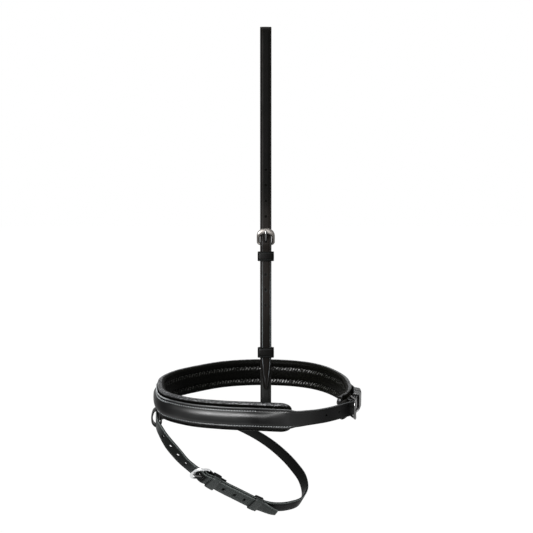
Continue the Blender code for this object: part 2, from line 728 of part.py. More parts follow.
def nose_raise(s):
    """How far the middle is raised, 0 to 1, and the half width."""
    share = smooth((s - far_sewn_s) / RAISE_FAR) * smooth((near_end_s + RAISE_PAST - s) / RAISE_NEAR)
    past = near_end_s + WIDE_PAST - s
    near = 0.65 * smooth(past / WIDE_NEAR) + 0.35 * smooth((past + WIDE_TAIL) / (WIDE_NEAR + WIDE_TAIL))
    wide = smooth((s - far_sewn_s + WIDE_BEFORE) / WIDE_FAR) * near
    return share, CHIN_HALF + (NOSE_HALF - CHIN_HALF) * wide


def nose_outline(s, run, total):
    """Front leather: flat at its edges, raised in the middle."""
    share, half = nose_raise(s)
    left = total - run
    half *= min(1.0, 0.45 + 0.55 * left / CHIN_POINT)
    rows = half / NOSE_HALF
    t = STRAP_T / 2
    cut_back = EDGE_ROUND
    upper = [(half, -t + cut_back), (half, t - cut_back), (half - cut_back, t)]
    upper += [(z * rows, t + RAISE * up * share) for z, up in RAISE_FRONT]
    lower = [(half - cut_back, -t)] + [(z * rows, -t + RAISE * up * share) for z, up in RAISE_BACK]
    return ([(-z, b) for z, b in lower] + list(reversed(lower)) + upper
            + [(-z, b) for z, b in reversed(upper)])


nose_path = (folded(chin_s, CHIN_FLAP) + eased([(chin_s + RUN_OUT, 0.0), (turn_s + chin_s - RUN_IN, 0.0)])[1:]
             + eased(over_buckle(turn_s + chin_s, CHIN_TIP))[1:])
nose_keep = [far_sewn_s + RAISE_FAR * k / 4 for k in range(5)]
nose_keep += [near_end_s + RAISE_PAST - RAISE_NEAR * k / 4 for k in range(5)]
nose_keep += [near_end_s + WIDE_PAST - WIDE_NEAR * share for share in (-2.1, -1, -0.4, 0, 0.25, 0.5, 0.75)]
nose_keep += [turn_s + chin_s + CHIN_TIP - CHIN_POINT]
nose_leather = sweep("noseband_leather", nose_line, nose_path, nose_outline, NOSE_BLACK, nose_keep)
cut(nose_leather, punches("noseband_leather_holes", nose_line,
                          [(turn_s + chin_s - back, LAYER if back < 0 else 0.0) for back in CHIN_HOLES_BACK]))
tongue_slots("chin_buckle", nose_line, chin_s, nose_leather, nose_leather)
chin_spot = Spot(nose_line, chin_s)
buckle_frame("chin_buckle_frame", chin_spot, CHIN_HALF, CHIN_TOP_BAR, CHIN_TOP_D)
buckle_tongue("chin_buckle_tongue", chin_spot, CHIN_TOP_BAR, CHIN_TOP_D)
keeper("chin_fixed_keeper", nose_line, chin_s + CHIN_KEEPER, CHIN_KEEPER_HALF, CHIN_HALF + CHIN_SIDE,
       -STRAP_T / 2, BILLET_FACE, NOSE_BLACK)
keeper("chin_running_keeper", nose_line, chin_s + CHIN_RUNNER, CHIN_KEEPER_HALF, CHIN_HALF + CHIN_SIDE,
       -STRAP_T / 2, BILLET_FACE, NOSE_BLACK, 2 * GAP)


# Filler under the raised middle
def core_outline(s, run, total):
    """Filler: flat behind, following the hollow of the leather in front."""
    share = nose_raise(s)[0]
    base = -STRAP_T / 2
    top = [(z * 0.86, base + max(0.12, (RAISE * share - 0.42) * up)) for z, up in RAISE_BACK]
    side = top[0][0]
    return [(-side, base), (side, base), *top, *[(-z, b) for z, b in reversed(top)]]


CORE_FROM = far_sewn_s + RAISE_FAR * 0.55
CORE_TO = near_end_s + RAISE_PAST - RAISE_NEAR * 0.55
core_path = eased([(CORE_FROM, 0.0), (CORE_TO, 0.0)])
sweep("nose_raised_filler", nose_line, core_path, core_outline, CORE_TAN, nose_keep[3:5] + nose_keep[8:10])

# Slots in the pad for the two ends of the head strap
room_d = STRAP_T / 2 + GAP
for end, at, up in (("near", head_line.length, -1), ("far", 0.0, 1)):
    pocket = block("pad_pocket_" + end, Spot(head_line, at), (-GAP * up, (PAD_HALF * 1.3 - HEAD_END_Z) * up),
                   (-room_d, room_d), (-HEAD_HALF - GAP, HEAD_HALF + GAP))
    cut(foam, pocket)
    cut(lining, pocket)

# Flash loop: a tail held between the front leather and the pad, and the loop that hangs from it,
# as (height, outward) outlines
LOOP_TAIL_Z = 1.0
LOOP_TAIL_D = PAD_FRONT - LOOP_T
LOOP_ROOM = 0.7
LOOP_OUTER = [(LOOP_TAIL_Z, LOOP_TAIL_D), (LOOP_TAIL_Z, PAD_FRONT), (-15.4, PAD_FRONT), (-16.6, 8.2),
              (-22.6, 11.6), (-28.5, 12.5), (-34.4, 11.4), (-38.1, 7.8), (-38.0, 2.9), (-34.2, 0.1),
              (-22.0, -0.1), (-17.0, 0.9)]
LOOP_INNER = [(-17.9, 3.2), (-17.7, 4.2), (-17.7, 6.0), (-19.0, 7.9), (-23.6, 10.0), (-28.5, 10.7),
              (-33.3, 9.8), (-36.4, 7.3), (-36.3, 3.7), (-33.4, 1.8), (-22.2, 1.7), (-18.7, 2.0)]
loop_s = pad_line.nearest((-123.5, LOOP_Y, 0))
loop_lengths = [loop_s + LOOP_HALF * (2 * k / 3 - 1) for k in range(4)]
band("flash_loop", pad_line, loop_lengths, LOOP_OUTER, LOOP_INNER, NOSE_BLACK)
recess_half = LOOP_HALF + LOOP_ROOM
recess = block("flash_loop_recess", Spot(pad_line, loop_s), (-recess_half, recess_half),
               (LOOP_TAIL_D - LOOP_ROOM - GAP, 2 * PAD_FRONT), (-PAD_HALF * 1.3, LOOP_TAIL_Z + GAP))
for piece in (foam, lining, backing):
    cut(piece, recess)

# Flash strap
FLASH_FLAP = 26.0
FLASH_TIP = 104.5
FLASH_TIP_RISE = 1.0         # the stiff tip also rises this much across, in its last part
FLASH_TIP_RUN = 30.0
FLASH_TOP_BAR = 14.5
FLASH_TOP_D = 4.2
FLASH_KEEPER = 12.8
FLASH_RUNNER = 74.4
FLASH_SAG = -0.7             # the pointed end and the fixed keeper hang this far across the strap
FLASH_KEEPER_HALF = 5.3
FLASH_LIFT = 3.4             # the stiff tip stands this far off
FLASH_HOLES_BACK = (-28.0, -44.0, -58.4, 28.0, 42.2, 56.4, 70.6)
flash_s = 0.0
round_s = flash_line.length
flash_tip_s = round_s + flash_s + FLASH_TIP
flash_lift_run = FLASH_TIP - FLASH_RUNNER - FLASH_KEEPER_HALF - RUN_OUT / 2
flash_path = (folded(flash_s, FLASH_FLAP)
              + eased([(flash_s + RUN_OUT, 0.0), (round_s + flash_s - RUN_IN, 0.0)])[1:]
              + eased(over_buckle(round_s + flash_s, FLASH_TIP, FLASH_LIFT, flash_lift_run))[1:])


def flash_outline(s, run, total):
    """Full width, sagging a little past the buckle; the tip's upper edge slants down to a square end."""
    full = min(1.0, (total - run) / FLASH_POINT)
    width = FLASH_END + (2 * FLASH_HALF - FLASH_END) * full
    shift = width / 2 - FLASH_HALF + FLASH_SAG * smooth((s - round_s + RUN_IN) / RUN_IN)
    shift += FLASH_TIP_RISE * smooth((s - flash_tip_s + FLASH_TIP_RUN) / FLASH_TIP_RUN)
    return [(a + shift, b) for a, b in strip_outline(width / 2)]


flash_strap = sweep("flash_strap", flash_line, flash_path, flash_outline, FLASH_BLACK,
                    [flash_tip_s - FLASH_POINT])
cut(flash_strap, punches("flash_strap_holes", flash_line,
                         [(round_s + flash_s - back, LAYER if back < 0 else 0.0) for back in FLASH_HOLES_BACK]))
tongue_slots("flash_buckle", flash_line, flash_s, flash_strap, flash_strap)
flash_spot = Spot(flash_line, flash_s)
buckle_frame("flash_buckle_frame", flash_spot, FLASH_HALF, FLASH_TOP_BAR, FLASH_TOP_D)
buckle_tongue("flash_buckle_tongue", flash_spot, FLASH_TOP_BAR, FLASH_TOP_D)
keeper("flash_fixed_keeper", flash_line, flash_s + FLASH_KEEPER, FLASH_KEEPER_HALF, FLASH_HALF + FRAME_SIDE,
       -BILLET_FACE, BILLET_FACE + GAP, FLASH_BLACK, shift=FLASH_SAG)
keeper("flash_running_keeper", flash_line, flash_s + FLASH_RUNNER, FLASH_KEEPER_HALF, FLASH_HALF + FRAME_SIDE,
       -STRAP_T / 2, BILLET_FACE, FLASH_BLACK, 0.5)
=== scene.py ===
# %% [markdown]
# # A flash noseband
# The part of a bridle that goes round a horse's nose: a padded leather band on a long strap over the poll,
# and a thin flash strap hung from a loop at the front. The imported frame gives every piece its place;
# this script gives each one its finished shape and surface.
# %% Load the fixed frame
import bisect
import math

import bmesh
import bpy
from mathutils import Matrix, Vector


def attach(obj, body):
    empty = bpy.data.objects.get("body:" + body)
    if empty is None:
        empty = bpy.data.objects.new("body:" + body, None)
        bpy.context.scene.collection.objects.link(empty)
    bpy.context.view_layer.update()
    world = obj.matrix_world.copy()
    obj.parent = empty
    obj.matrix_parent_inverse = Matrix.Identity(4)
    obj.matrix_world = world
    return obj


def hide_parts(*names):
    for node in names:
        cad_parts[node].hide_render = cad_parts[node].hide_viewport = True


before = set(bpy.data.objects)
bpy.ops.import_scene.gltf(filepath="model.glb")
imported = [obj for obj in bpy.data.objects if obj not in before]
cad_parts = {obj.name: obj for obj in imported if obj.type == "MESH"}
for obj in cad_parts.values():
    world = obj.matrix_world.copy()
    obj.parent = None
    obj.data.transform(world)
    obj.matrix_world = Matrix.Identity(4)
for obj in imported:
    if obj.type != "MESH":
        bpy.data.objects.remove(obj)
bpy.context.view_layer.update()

# %% [markdown]
# ## Sizes
# The straps are cut from leather 2.4 mm thick. The lengths below are millimetres, the same ones that the
# solids were made with, because each finished strap has to lie where its solid lies. A size that only one
# piece needs stands beside that piece.
# %% Sizes that several pieces share
MM = 0.001
GAP = 0.3               # room between two pieces that touch
STRAP_T = 2.4           # thickness of the straps, and of the thinner leather of the keepers and the loop
KEEPER_T = 1.7
LOOP_T = 1.9
LAYER = STRAP_T + GAP   # from one strap to the next one on top of it
FACE = LAYER + STRAP_T / 2
HEAD_HALF = 6.35        # half the width of each strap
CHEEK_HALF = 6.1
CHIN_HALF = 8.6
NOSE_HALF = 11.7
FLASH_HALF = 7.95
BAR_R = 1.5             # a buckle's heel bar, and how far behind the strap's middle it lies
BAR_D = -1.6
TONGUE_R = 1.1
FOLD_MID_R = BAR_R + GAP + STRAP_T / 2
FRAME_SIDE = 1.1        # room beside a strap in its buckle and keepers, and in the snug keepers at the chin
CHIN_SIDE = 0.5
RUN_IN = 24.0           # a strap climbs to its buckle in this length, and lies flat again in the next
RUN_OUT = 9.0
PAD_FRONT = 3.2         # front of the pad before its middle line
LEATHER_D = PAD_FRONT + GAP + STRAP_T / 2
print("a strap on a strap lies %.1f mm further out" % LAYER)

# %% [markdown]
# ## Where the noseband runs
# The noseband and the flash strap curve all the way round, so their lines are drawn through a few listed
# points. The noseband's points are seen from above, x towards the chin and y towards the horse's right side.
# The flash strap's are in space, and each also has the direction of the strap's width there.
# %% Points that the straps pass through
PAD_MID = [(84.9, -48.2), (92.6, -38.6), (98.0, -22), (98.3, -2.5), (94.9, 21.4), (85.4, 43.1), (72, 61.5),
           (57.6, 73), (42.9, 80), (13.1, 86.5), (-16.9, 87), (-53.9, 79), (-84, 62), (-113.2, 37.4),
           (-124.1, 14.4), (-123.9, -6), (-116.4, -35.8), (-91, -56.6), (-49, -69.5), (-5, -74.8),
           (10, -76.9), (29.5, -79)]
CHAPE_RUN = [(98.8, -46), (100.3, -40.4), (103.1, -30.5), (106.7, -17.5), (106.6, -1)]
NEAR_RUN = [(38.8, -82.2), (46, -79.6), (59.5, -74.7), (73.4, -67.3), (82, -61), (91.2, -52.8)]
FLASH_N = (0.61, -0.51, 0.60)
FRONT_N = (0.64, -0.44, 0.63)
BUCKLE_N = (0.555, -0.455, 0.70)
FLASH_RUN = [((-72.3, -22.6, -93.6), BUCKLE_N), ((-37, -14.2, -118.1), (0.56, -0.37, 0.74)),
             ((6, 1.0, -143.7), (0.5, -0.37, 0.78)), ((17.5, 8.2, -147.4), (0.43, -0.36, 0.82)),
             ((28.7, 16.8, -149.9), (0.36, -0.35, 0.86)), ((43.4, 32.1, -150.6), (0.36, -0.35, 0.86)),
             ((49.9, 49, -143.7), (0.4, -0.38, 0.83)), ((46.6, 60.3, -131.8), (0.47, -0.43, 0.77)),
             ((36.7, 64.8, -118.4), (0.57, -0.49, 0.66)), ((14.4, 67.8, -95.7), FLASH_N),
             ((-32.4, 61.4, -63.0), FLASH_N), ((-70, 49, -45), (0.52, -0.5, 0.69)),
             ((-101, 32, -33), (0.25, -0.35, 0.9)), ((-121.2, 15, -27.7), (0.05, -0.1, 1)),
             ((-128.7, 4, -26.5), (0, -0.04, 1)), ((-129.5, -5, -26.4), (0, -0.12, 0.99)),
             ((-128.8, -13.5, -29.4), (0.1, -0.46, 0.88)), ((-122.9, -21, -39.5), (0.34, -0.58, 0.74)),
             ((-114.6, -25.6, -51.1), (0.5, -0.48, 0.72)), ((-107.7, -25.8, -60.3), FRONT_N),
             ((-94.2, -24.6, -77.0), (0.59, -0.53, 0.61))]
print("flash strap drawn through", len(FLASH_RUN), "places")

# %% [markdown]
# ## A smooth curve
# A strap under light tension takes an even curve. A curve through points a few centimetres apart could be a
# Bezier object, but the straps need places and directions at any length, so a short function works it out.
# %% A curve through points


def smooth(t):
    """Ease from 0 to 1 with level ends."""
    t = max(0.0, min(1.0, t))
    return t * t * (3 - 2 * t)


def curve_through(points, closed=False, pieces=10):
    """A smooth curve through points of any size, as many short steps."""
    points = [Vector(p) for p in points]
    count = len(points)
    last = count if closed else count - 1
    chord = [(points[(i + 1) % count] - points[i]).length for i in range(last)]

    def slope(i):
        """Direction of the curve at a point, from the chords on both sides of it."""
        if not closed and i == 0:
            return (points[1] - points[0]) / chord[0]
        if not closed and i == count - 1:
            return (points[-1] - points[-2]) / chord[-1]
        before, after = chord[i - 1], chord[i % last]
        back = (points[i % count] - points[i - 1]) / before
        ahead = (points[(i + 1) % count] - points[i % count]) / after
        return (back * after + ahead * before) / (before + after)

    made = []
    for i in range(last):
        start, end = points[i], points[(i + 1) % count]
        leave = slope(i) * chord[i]
        arrive = slope((i + 1) % count if closed else i + 1) * chord[i]
        for k in range(pieces):
            t = k / pieces
            made.append(start * (2 * t ** 3 - 3 * t ** 2 + 1) + leave * (t ** 3 - 2 * t ** 2 + t)
                        + end * (3 * t ** 2 - 2 * t ** 3) + arrive * (t ** 3 - t ** 2))
    made.append(points[0] if closed else points[-1])
    return made


print("the chape is drawn with", len(curve_through([(x, y, 0.0) for x, y in CHAPE_RUN])), "steps")

# %% [markdown]
# ## Lines that straps follow
# A strap is easiest to think of as a ribbon: a curve along its middle, and at each place the direction of
# its width. The Line class measures that curve by length, so that a hole or a keeper can be put a number of
# millimetres from the buckle, the way a saddler marks them.
# %% A curve measured by its length


class Line:
    """A curve measured by its length, with the width direction and the outer side at each place."""

    def __init__(self, points, across):
        self.points, self.width, self.marks = points, across, [0.0]
        for one, two in zip(points, points[1:]):
            self.marks.append(self.marks[-1] + (two - one).length)
        self.length = self.marks[-1]
        self.closed = (points[0] - points[-1]).length < 1e-6

    def tangent(self, i):
        """Direction along the curve at one of its points."""
        last = len(self.points) - 1
        if self.closed:
            return (self.points[(i + 1) % last] - self.points[(i - 1) % last]).normalized()
        return (self.points[min(i + 1, last)] - self.points[max(i - 1, 0)]).normalized()

    def at(self, s):
        """Place, direction, outward direction and width direction at the length s."""
        over = 0.0
        if self.closed:
            s %= self.length
        else:
            over = s - max(0.0, min(self.length, s))
            s -= over
        i = min(max(bisect.bisect_right(self.marks, s) - 1, 0), len(self.points) - 2)
        t = (s - self.marks[i]) / (self.marks[i + 1] - self.marks[i])
        along = self.tangent(i).lerp(self.tangent(i + 1), t).normalized()
        width = self.width[i].lerp(self.width[i + 1], t)
        width = (width - along * width.dot(along)).normalized()
        return self.points[i].lerp(self.points[i + 1], t) + along * over, along, along.cross(width), width

    def place(self, s, d=0.0, a=0.0):
        """The point at length s, moved d outward and a along the width."""
        point, _, out, width = self.at(s)
        return point + out * d + width * a

    def nearest(self, target):
        """The length at which the curve passes closest to a point."""
        best = min(range(len(self.points)), key=lambda i: (self.points[i] - Vector(target)).length)
        return self.marks[best]


def flat_line(points, closed=False):
    """A level line at the noseband's height, its width upright."""
    curve = curve_through([(x, y, 0.0) for x, y in points], closed)
    return Line(curve, [Vector((0, 0, 1))] * len(curve))


pad_line = flat_line(PAD_MID)
print("the pad's middle is %.0f mm long" % pad_line.length)

# %% [markdown]
# ## Front leather
# The front leather lies a few millimetres outside the pad's middle line where it is sewn on, and leaves the
# pad at both ends to reach its buckle. Its sewn points are therefore measured from the pad, so that leather
# and pad can't drift apart, and the free points are joined on at both ends.
# %% Line of the front leather
SEWN_FROM = (94.9, 21.4, 0.0)   # from here on the front leather is sewn to the pad
SEWN_STEP = 12.0
sewn_from = pad_line.nearest(SEWN_FROM)
sewn_count = round((pad_line.length - sewn_from) / SEWN_STEP)
sewn_points = [pad_line.place(sewn_from + (pad_line.length - sewn_from) * k / sewn_count, LEATHER_D)
               for k in range(sewn_count + 1)]
nose_line = flat_line(CHAPE_RUN + [(p.x, p.y) for p in sewn_points] + NEAR_RUN, closed=True)
print("front leather %.0f mm round" % nose_line.length)

# %% [markdown]
# ## Head strap
# The head strap hangs folded over a peg, so its two sides are straight and lean together towards the fold,
# and each bends upright just above the pad. Straight runs with arcs at their corners give exactly that. The
# lean and the height where the two sides would meet depend on each other, so they are worked out in turns.
# %% Line of the head strap
HEAD_X = 0.5          # place along the noseband
HEAD_END_Z = -8.0     # the ends inside the pad, the bends above it and the top of the fold
HEAD_BEND_Z = 22.0
HEAD_BEND_R = 25.0
FOLD_R = 7.0
FOLD_TOP_Z = 429.0
PAD_STRAP_D = -1.6    # the ends lie this far inside the pad's middle line
NEAR_SIDE, FAR_SIDE = (0, -75, 0), (0, 87, 0)


def rounded(points, radii, pieces=16):
    """A chain of straight runs whose corners are arcs."""
    made = [Vector(points[0])]
    for before, corner, after, radius in zip(points, points[1:], points[2:], radii):
        corner = Vector(corner)
        back = (Vector(before) - corner).normalized()
        ahead = (Vector(after) - corner).normalized()
        half = back.angle(ahead) / 2
        centre = corner + (back + ahead).normalized() * radius / math.sin(half)
        first = corner + back * radius / math.tan(half) - centre
        last = corner + ahead * radius / math.tan(half) - centre
        turn = first.angle(last)
        for k in range(pieces + 1):
            t = k / pieces
            blend = first * math.sin((1 - t) * turn) + last * math.sin(t * turn)
            made.append(centre + blend / math.sin(turn))
    made.append(Vector(points[-1]))
    return made


near_y = pad_line.place(pad_line.nearest(NEAR_SIDE), PAD_STRAP_D).y
far_y = pad_line.place(pad_line.nearest(FAR_SIDE), PAD_STRAP_D).y
apex_y = (near_y + far_y) / 2
lean = math.atan2((far_y - near_y) / 2, FOLD_TOP_Z - HEAD_BEND_Z)
for _ in range(20):
    apex_z = FOLD_TOP_Z - FOLD_R + FOLD_R / math.sin(lean)
    lean = math.atan2((far_y - near_y) / 2, apex_z - HEAD_BEND_Z)
head_corners = [(HEAD_X, far_y, HEAD_END_Z), (HEAD_X, far_y, HEAD_BEND_Z), (HEAD_X, apex_y, apex_z),
                (HEAD_X, near_y, HEAD_BEND_Z), (HEAD_X, near_y, HEAD_END_Z)]
head_points = rounded(head_corners, [HEAD_BEND_R, FOLD_R, HEAD_BEND_R])
head_line = Line(head_points, [Vector((1, 0, 0))] * len(head_points))
POLL = Vector((HEAD_X, apex_y, FOLD_TOP_Z - STRAP_T / 2))
print("head strap %.0f mm, and a lean of %.1f degrees" % (head_line.length, math.degrees(lean)))

# %% [markdown]
# ## Flash strap
# The flash strap twists as it goes: its width is upright in its loop and slants at its buckle. Its places
# and width directions go through one curve together, six numbers at a time, so both change evenly.
# %% Line of the flash strap
flash_steps = curve_through([(*place, *across) for place, across in FLASH_RUN], closed=True)
flash_line = Line([Vector(step[:3]) for step in flash_steps],
                  [Vector(step[3:]).normalized() for step in flash_steps])
print("flash strap %.0f mm round" % flash_line.length)

# %% [markdown]
# ## Objects from working meshes
# Every new piece is built in a bmesh in millimetres, where the numbers are easy to check against a ruler.
# One function makes it an object in metres whose origin is the poll, the same place as the frame's origin.
# Its place stays in the mesh, so patterns on Object coordinates hold still.
# %% Making objects
SHARP = 35    # bends steeper than this many degrees are shaded as edges: on leather, then on metal and pad
ROUND = 60
BODY = "headpiece_and_noseband"


def new_mesh():
    """A working mesh whose points carry the attribute place: length, across, distance from the edge."""
    mesh = bmesh.new()
    mesh.verts.layers.float_vector.new("place")
    return mesh


def finish_mesh(name, mesh, sharp=SHARP):
    """Turn a working mesh in millimetres into an object in metres, measured from the poll."""
    bmesh.ops.recalc_face_normals(mesh, faces=mesh.faces)
    bmesh.ops.translate(mesh, verts=mesh.verts, vec=-POLL)
    bmesh.ops.scale(mesh, verts=mesh.verts, vec=(MM, MM, MM))
    data = bpy.data.meshes.new(name)
    mesh.to_mesh(data)
    mesh.free()
    data.shade_smooth()
    data.set_sharp_from_angle(angle=math.radians(sharp))
    made = bpy.data.objects.new(name, data)
    bpy.context.collection.objects.link(made)
    return made


print("objects are measured from the poll at", tuple(round(v, 1) for v in POLL), "mm")

# %% [markdown]
# ## A strap as an extruded ring
# The cross-section of a strap is a ring of points, and bmesh extrudes that ring from station to station
# along the strap. A curve with a bevel profile would do it too, but it can't fold back on itself round a
# buckle's bar as tightly as leather does, and it can't change its section on the way.
# %% Extruding rings


def extrude_rings(mesh, rings, notes=None, closed=False):
    """Extrude the first ring of points through all the others; notes are the "place" values."""
    layer = mesh.verts.layers.float_vector["place"]
    verts = [mesh.verts.new(p) for p in rings[0]]
    edges = [mesh.edges.new((verts[i], verts[(i + 1) % len(verts)])) for i in range(len(verts))]
    first = edges
    for k, ring in enumerate(rings):
        if k:
            geom = bmesh.ops.extrude_edge_only(mesh, edges=edges)["geom"]
            fresh = {item for item in geom if isinstance(item, bmesh.types.BMVert)}
            verts = [next(e.other_vert(v) for e in v.link_edges if e.other_vert(v) in fresh) for v in verts]
            edges = [mesh.edges.get((verts[i], verts[(i + 1) % len(verts)])) for i in range(len(verts))]
        for i, vert in enumerate(verts):
            vert.co = ring[i]
            if notes:
                vert[layer] = notes[k][i]
    if closed:
        bmesh.ops.bridge_loops(mesh, edges=first + edges)
    else:
        bmesh.ops.contextual_create(mesh, geom=first)
        bmesh.ops.contextual_create(mesh, geom=edges)


def stations(points, first, last, follow=0.012, longest=4):
    """Which of many close points are needed to follow them closely."""
    span = points[last] - points[first]
    worst, at = 0.0, (first + last) // 2
    for i in range(first + 1, last):
        off = points[i] - points[first]
        miss = (off - span * (off.dot(span) / span.length_squared)).length
        if miss > worst:
            worst, at = miss, i
    if worst < follow:
        if last - first <= longest:
            return [first]
        at = (first + last) // 2
    return stations(points, first, at) + stations(points, at, last)


print("the head strap's line needs", len(stations(head_points, 0, len(head_points) - 1)), "stations")

# %% [markdown]
# ## The way a strap takes through its buckle
# At a buckle a strap is folded back round the heel bar, and the other end climbs over the bar, goes under
# the top bar and lies down again on the strap below. Both ways are offsets from the same line, as pairs of
# length and height, eased from one to the next as stiff leather bends.
# %% Folds and climbs
TURN_STEPS = 20
CLIMB = 0.7    # a strap's height half way up to its buckle


def eased(knots, step=1.0):
    """Length and offset pairs along a strap; the offset eases from knot to knot."""
    made = []
    for (s1, d1), (s2, d2) in zip(knots, knots[1:]):
        count = max(1, round(abs(s2 - s1) / step))
        made += [(s1 + (s2 - s1) * k / count, d1 + (d2 - d1) * smooth(k / count)) for k in range(count)]
    return made + [knots[-1]]


def folded(at, flap):
    """A strap's path round the heel bar of its buckle: the flap's end first, then the fold."""
    low = BAR_D - FOLD_MID_R
    made = eased([(at + flap, -LAYER), (at + RUN_OUT, -LAYER), (at, low)])
    for k in range(1, TURN_STEPS):
        angle = math.pi * k / TURN_STEPS
        made.append((at - FOLD_MID_R * math.sin(angle), BAR_D - FOLD_MID_R * math.cos(angle)))
    return made + eased([(at, BAR_D + FOLD_MID_R), (at + RUN_OUT, 0.0)])


def over_buckle(at, tip, lift=0.0, lift_run=0.0):
    """A strap's path through the buckle and along the other strap; its end may stand off."""
    return [(at - RUN_IN, 0.0), (at - RUN_IN / 2, CLIMB), (at, BAR_D + FOLD_MID_R + LAYER),
            (at + RUN_OUT, LAYER), (at + tip - lift_run - 1.0, LAYER), (at + tip, LAYER + lift)]


print("a fold is drawn with", len(folded(0.0, RUN_OUT)), "steps")

# %% [markdown]
# ## Section of a strap
# A saddler rounds the edges, then presses a hot crease a little inside each of them; the face between is
# slightly domed. The section has just the points that these need. Each point also notes its distance from
# the edge, which the leather reads to lighten the crease and darken the cut edge; the back notes -1.
# %% Flat section and strap
EDGE_R = 0.6           # rounded edges
CREASE_IN = 1.6        # the crease: its place inside the edge, its half width and its depth
CREASE_HALF = 0.3
CREASE_DEPTH = 0.16
DOME = 0.05


def corner(a, b, radius, start, pieces=4):
    """An arc of a section's corner, centred radius inside (a, b)."""
    ca, cb = a - math.copysign(radius, a), b - math.copysign(radius, b)
    turns = [math.radians(start + 90 * k / pieces) for k in range(pieces + 1)]
    return [(ca + radius * math.cos(turn), cb + radius * math.sin(turn)) for turn in turns]


def flat_section(half, thick=STRAP_T, crease=CREASE_IN, radius=EDGE_R, shift=0.0):
    """Section of a flat strap: (across, outward, distance from the edge) all the way round."""
    t = thick / 2
    crease = min(crease, half * 0.6)
    outer, inner = half - crease + CREASE_HALF, half - crease - CREASE_HALF
    front = [(outer, t), (half - crease, t - CREASE_DEPTH), (inner, t)]
    front += [(half * 0.35, t + DOME), (-half * 0.35, t + DOME)]
    front += [(-a, b) for a, b in reversed(front[:3])]
    ring = [(a, b, 0.0) for a, b in corner(half, t, radius, 0)]
    ring += [(a, b, half - abs(a)) for a, b in front]
    ring += [(a, b, 0.0) for a, b in corner(-half, t, radius, 90)]
    ring += [(a, b, -1.0) for a, b in corner(-half, -t, radius, 180) + corner(half, -t, radius, 270)]
    return [(a + shift, b, e) for a, b, e in ring]


def strap(name, line, path, section):
    """Extrude a strap's section along (length, offset) pairs of its line."""
    points = [line.place(s, d) for s, d in path]
    runs = [0.0]
    for one, two in zip(points, points[1:]):
        runs.append(runs[-1] + (two - one).length)
    rings, notes = [], []
    for i in stations(points, 0, len(points) - 1) + [len(points) - 1]:
        along = (points[min(i + 1, len(points) - 1)] - points[max(i - 1, 0)]).normalized()
        width = line.at(path[i][0])[3]
        width = (width - along * width.dot(along)).normalized()
        out = along.cross(width)
        ring = section(path[i][0], runs[i], runs[-1])
        rings.append([points[i] + width * a + out * b for a, b, _ in ring])
        notes.append([(runs[i], a, e) for a, b, e in ring])
    mesh = new_mesh()
    extrude_rings(mesh, rings, notes)
    return finish_mesh(name, mesh)


print("the section of a strap has", len(flat_section(HEAD_HALF)), "points")

# %% [markdown]
# ## Holes
# A saddler punches round holes, and for the buckle's tongue a long one. Here each is a short solid taken
# away from the strap with an exact Boolean, applied at once, so the finished strap carries no modifier.
# %% Punching and cutting
PUNCH_DEPTH = 7.0
SLOT_HALF = TONGUE_R + 0.35
SLOT_AHEAD = 8.2       # reach of the tongue's slot before, behind and above the heel bar
SLOT_BEHIND = 6.5
SLOT_TOP = 1.0
SLOT_FRONT = 1.5       # the hole in the strap above ends this far before the bar
SLOT_DEEP = 8.6


def matrix_at(line, s, d=0.0, a=0.0):
    """Axes of a place on a line: x along it, y outward, z across."""
    _, along, out, width = line.at(s)
    made = Matrix((along, out, width)).transposed().to_4x4()
    made.translation = line.place(s, d, a)
    return made


def punch(line, places, radius=1.5):
    """Round punches at (length, offset, across) places, as one cutting mesh."""
    mesh = new_mesh()
    for s, d, a in places:
        turn = matrix_at(line, s, d, a) @ Matrix.Rotation(math.pi / 2, 4, "X")
        bmesh.ops.create_cone(mesh, cap_ends=True, segments=20, radius1=radius, radius2=radius,
                              depth=PUNCH_DEPTH, matrix=turn)
    return finish_mesh("punch", mesh)


def tongue_slot(line, at):
    """The slot in the fold and the long hole in the strap above it, as one cutting mesh."""
    high = BAR_D + FOLD_MID_R
    behind = [SLOT_BEHIND + (SLOT_TOP - SLOT_BEHIND) * k / 4 for k in range(5)]
    profile = [(-SLOT_AHEAD, -SLOT_DEEP), (SLOT_BEHIND, -SLOT_DEEP)]
    profile += [(x, high * (1 - smooth(x / RUN_OUT)) + LAYER / 2) for x in behind]
    profile += [(-SLOT_FRONT, high + LAYER / 2), (-SLOT_FRONT, SLOT_DEEP), (-SLOT_AHEAD, SLOT_DEEP)]
    origin, along, out, width = line.at(at)
    mesh = new_mesh()
    outline = [mesh.verts.new(origin + along * x + out * d - width * SLOT_HALF) for x, d in profile]
    side = mesh.faces.new(outline)
    grown = bmesh.ops.extrude_face_region(mesh, geom=[side])["geom"]
    grown = [item for item in grown if isinstance(item, bmesh.types.BMVert)]
    bmesh.ops.translate(mesh, verts=grown, vec=width * 2 * SLOT_HALF)
    return finish_mesh("slot", mesh)


def cut(piece, *tools, sharp=SHARP):
    """Take cutting meshes away from a piece and keep the result as its mesh."""
    for tool in tools:
        step = piece.modifiers.new("cut", "BOOLEAN")
        step.operation, step.solver, step.object = "DIFFERENCE", "EXACT", tool
    bpy.context.view_layer.update()
    data = bpy.data.meshes.new_from_object(piece.evaluated_get(bpy.context.evaluated_depsgraph_get()))
    piece.modifiers.clear()
    piece.data = data
    data.shade_smooth()
    data.set_sharp_from_angle(angle=math.radians(sharp))


def drop(*tools):
    """Remove cutting meshes once they have done their work."""
    for tool in tools:
        bpy.data.objects.remove(tool)


print("a tongue's slot is %.1f mm wide" % (2 * SLOT_HALF))

# %% [markdown]
# ## Dressing a piece
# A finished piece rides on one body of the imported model, which moves it in every pose, and it stands for
# one or more solids, which are then hidden. Every piece gets both, with its material, through one function.
# %% Material, body and solids of a piece


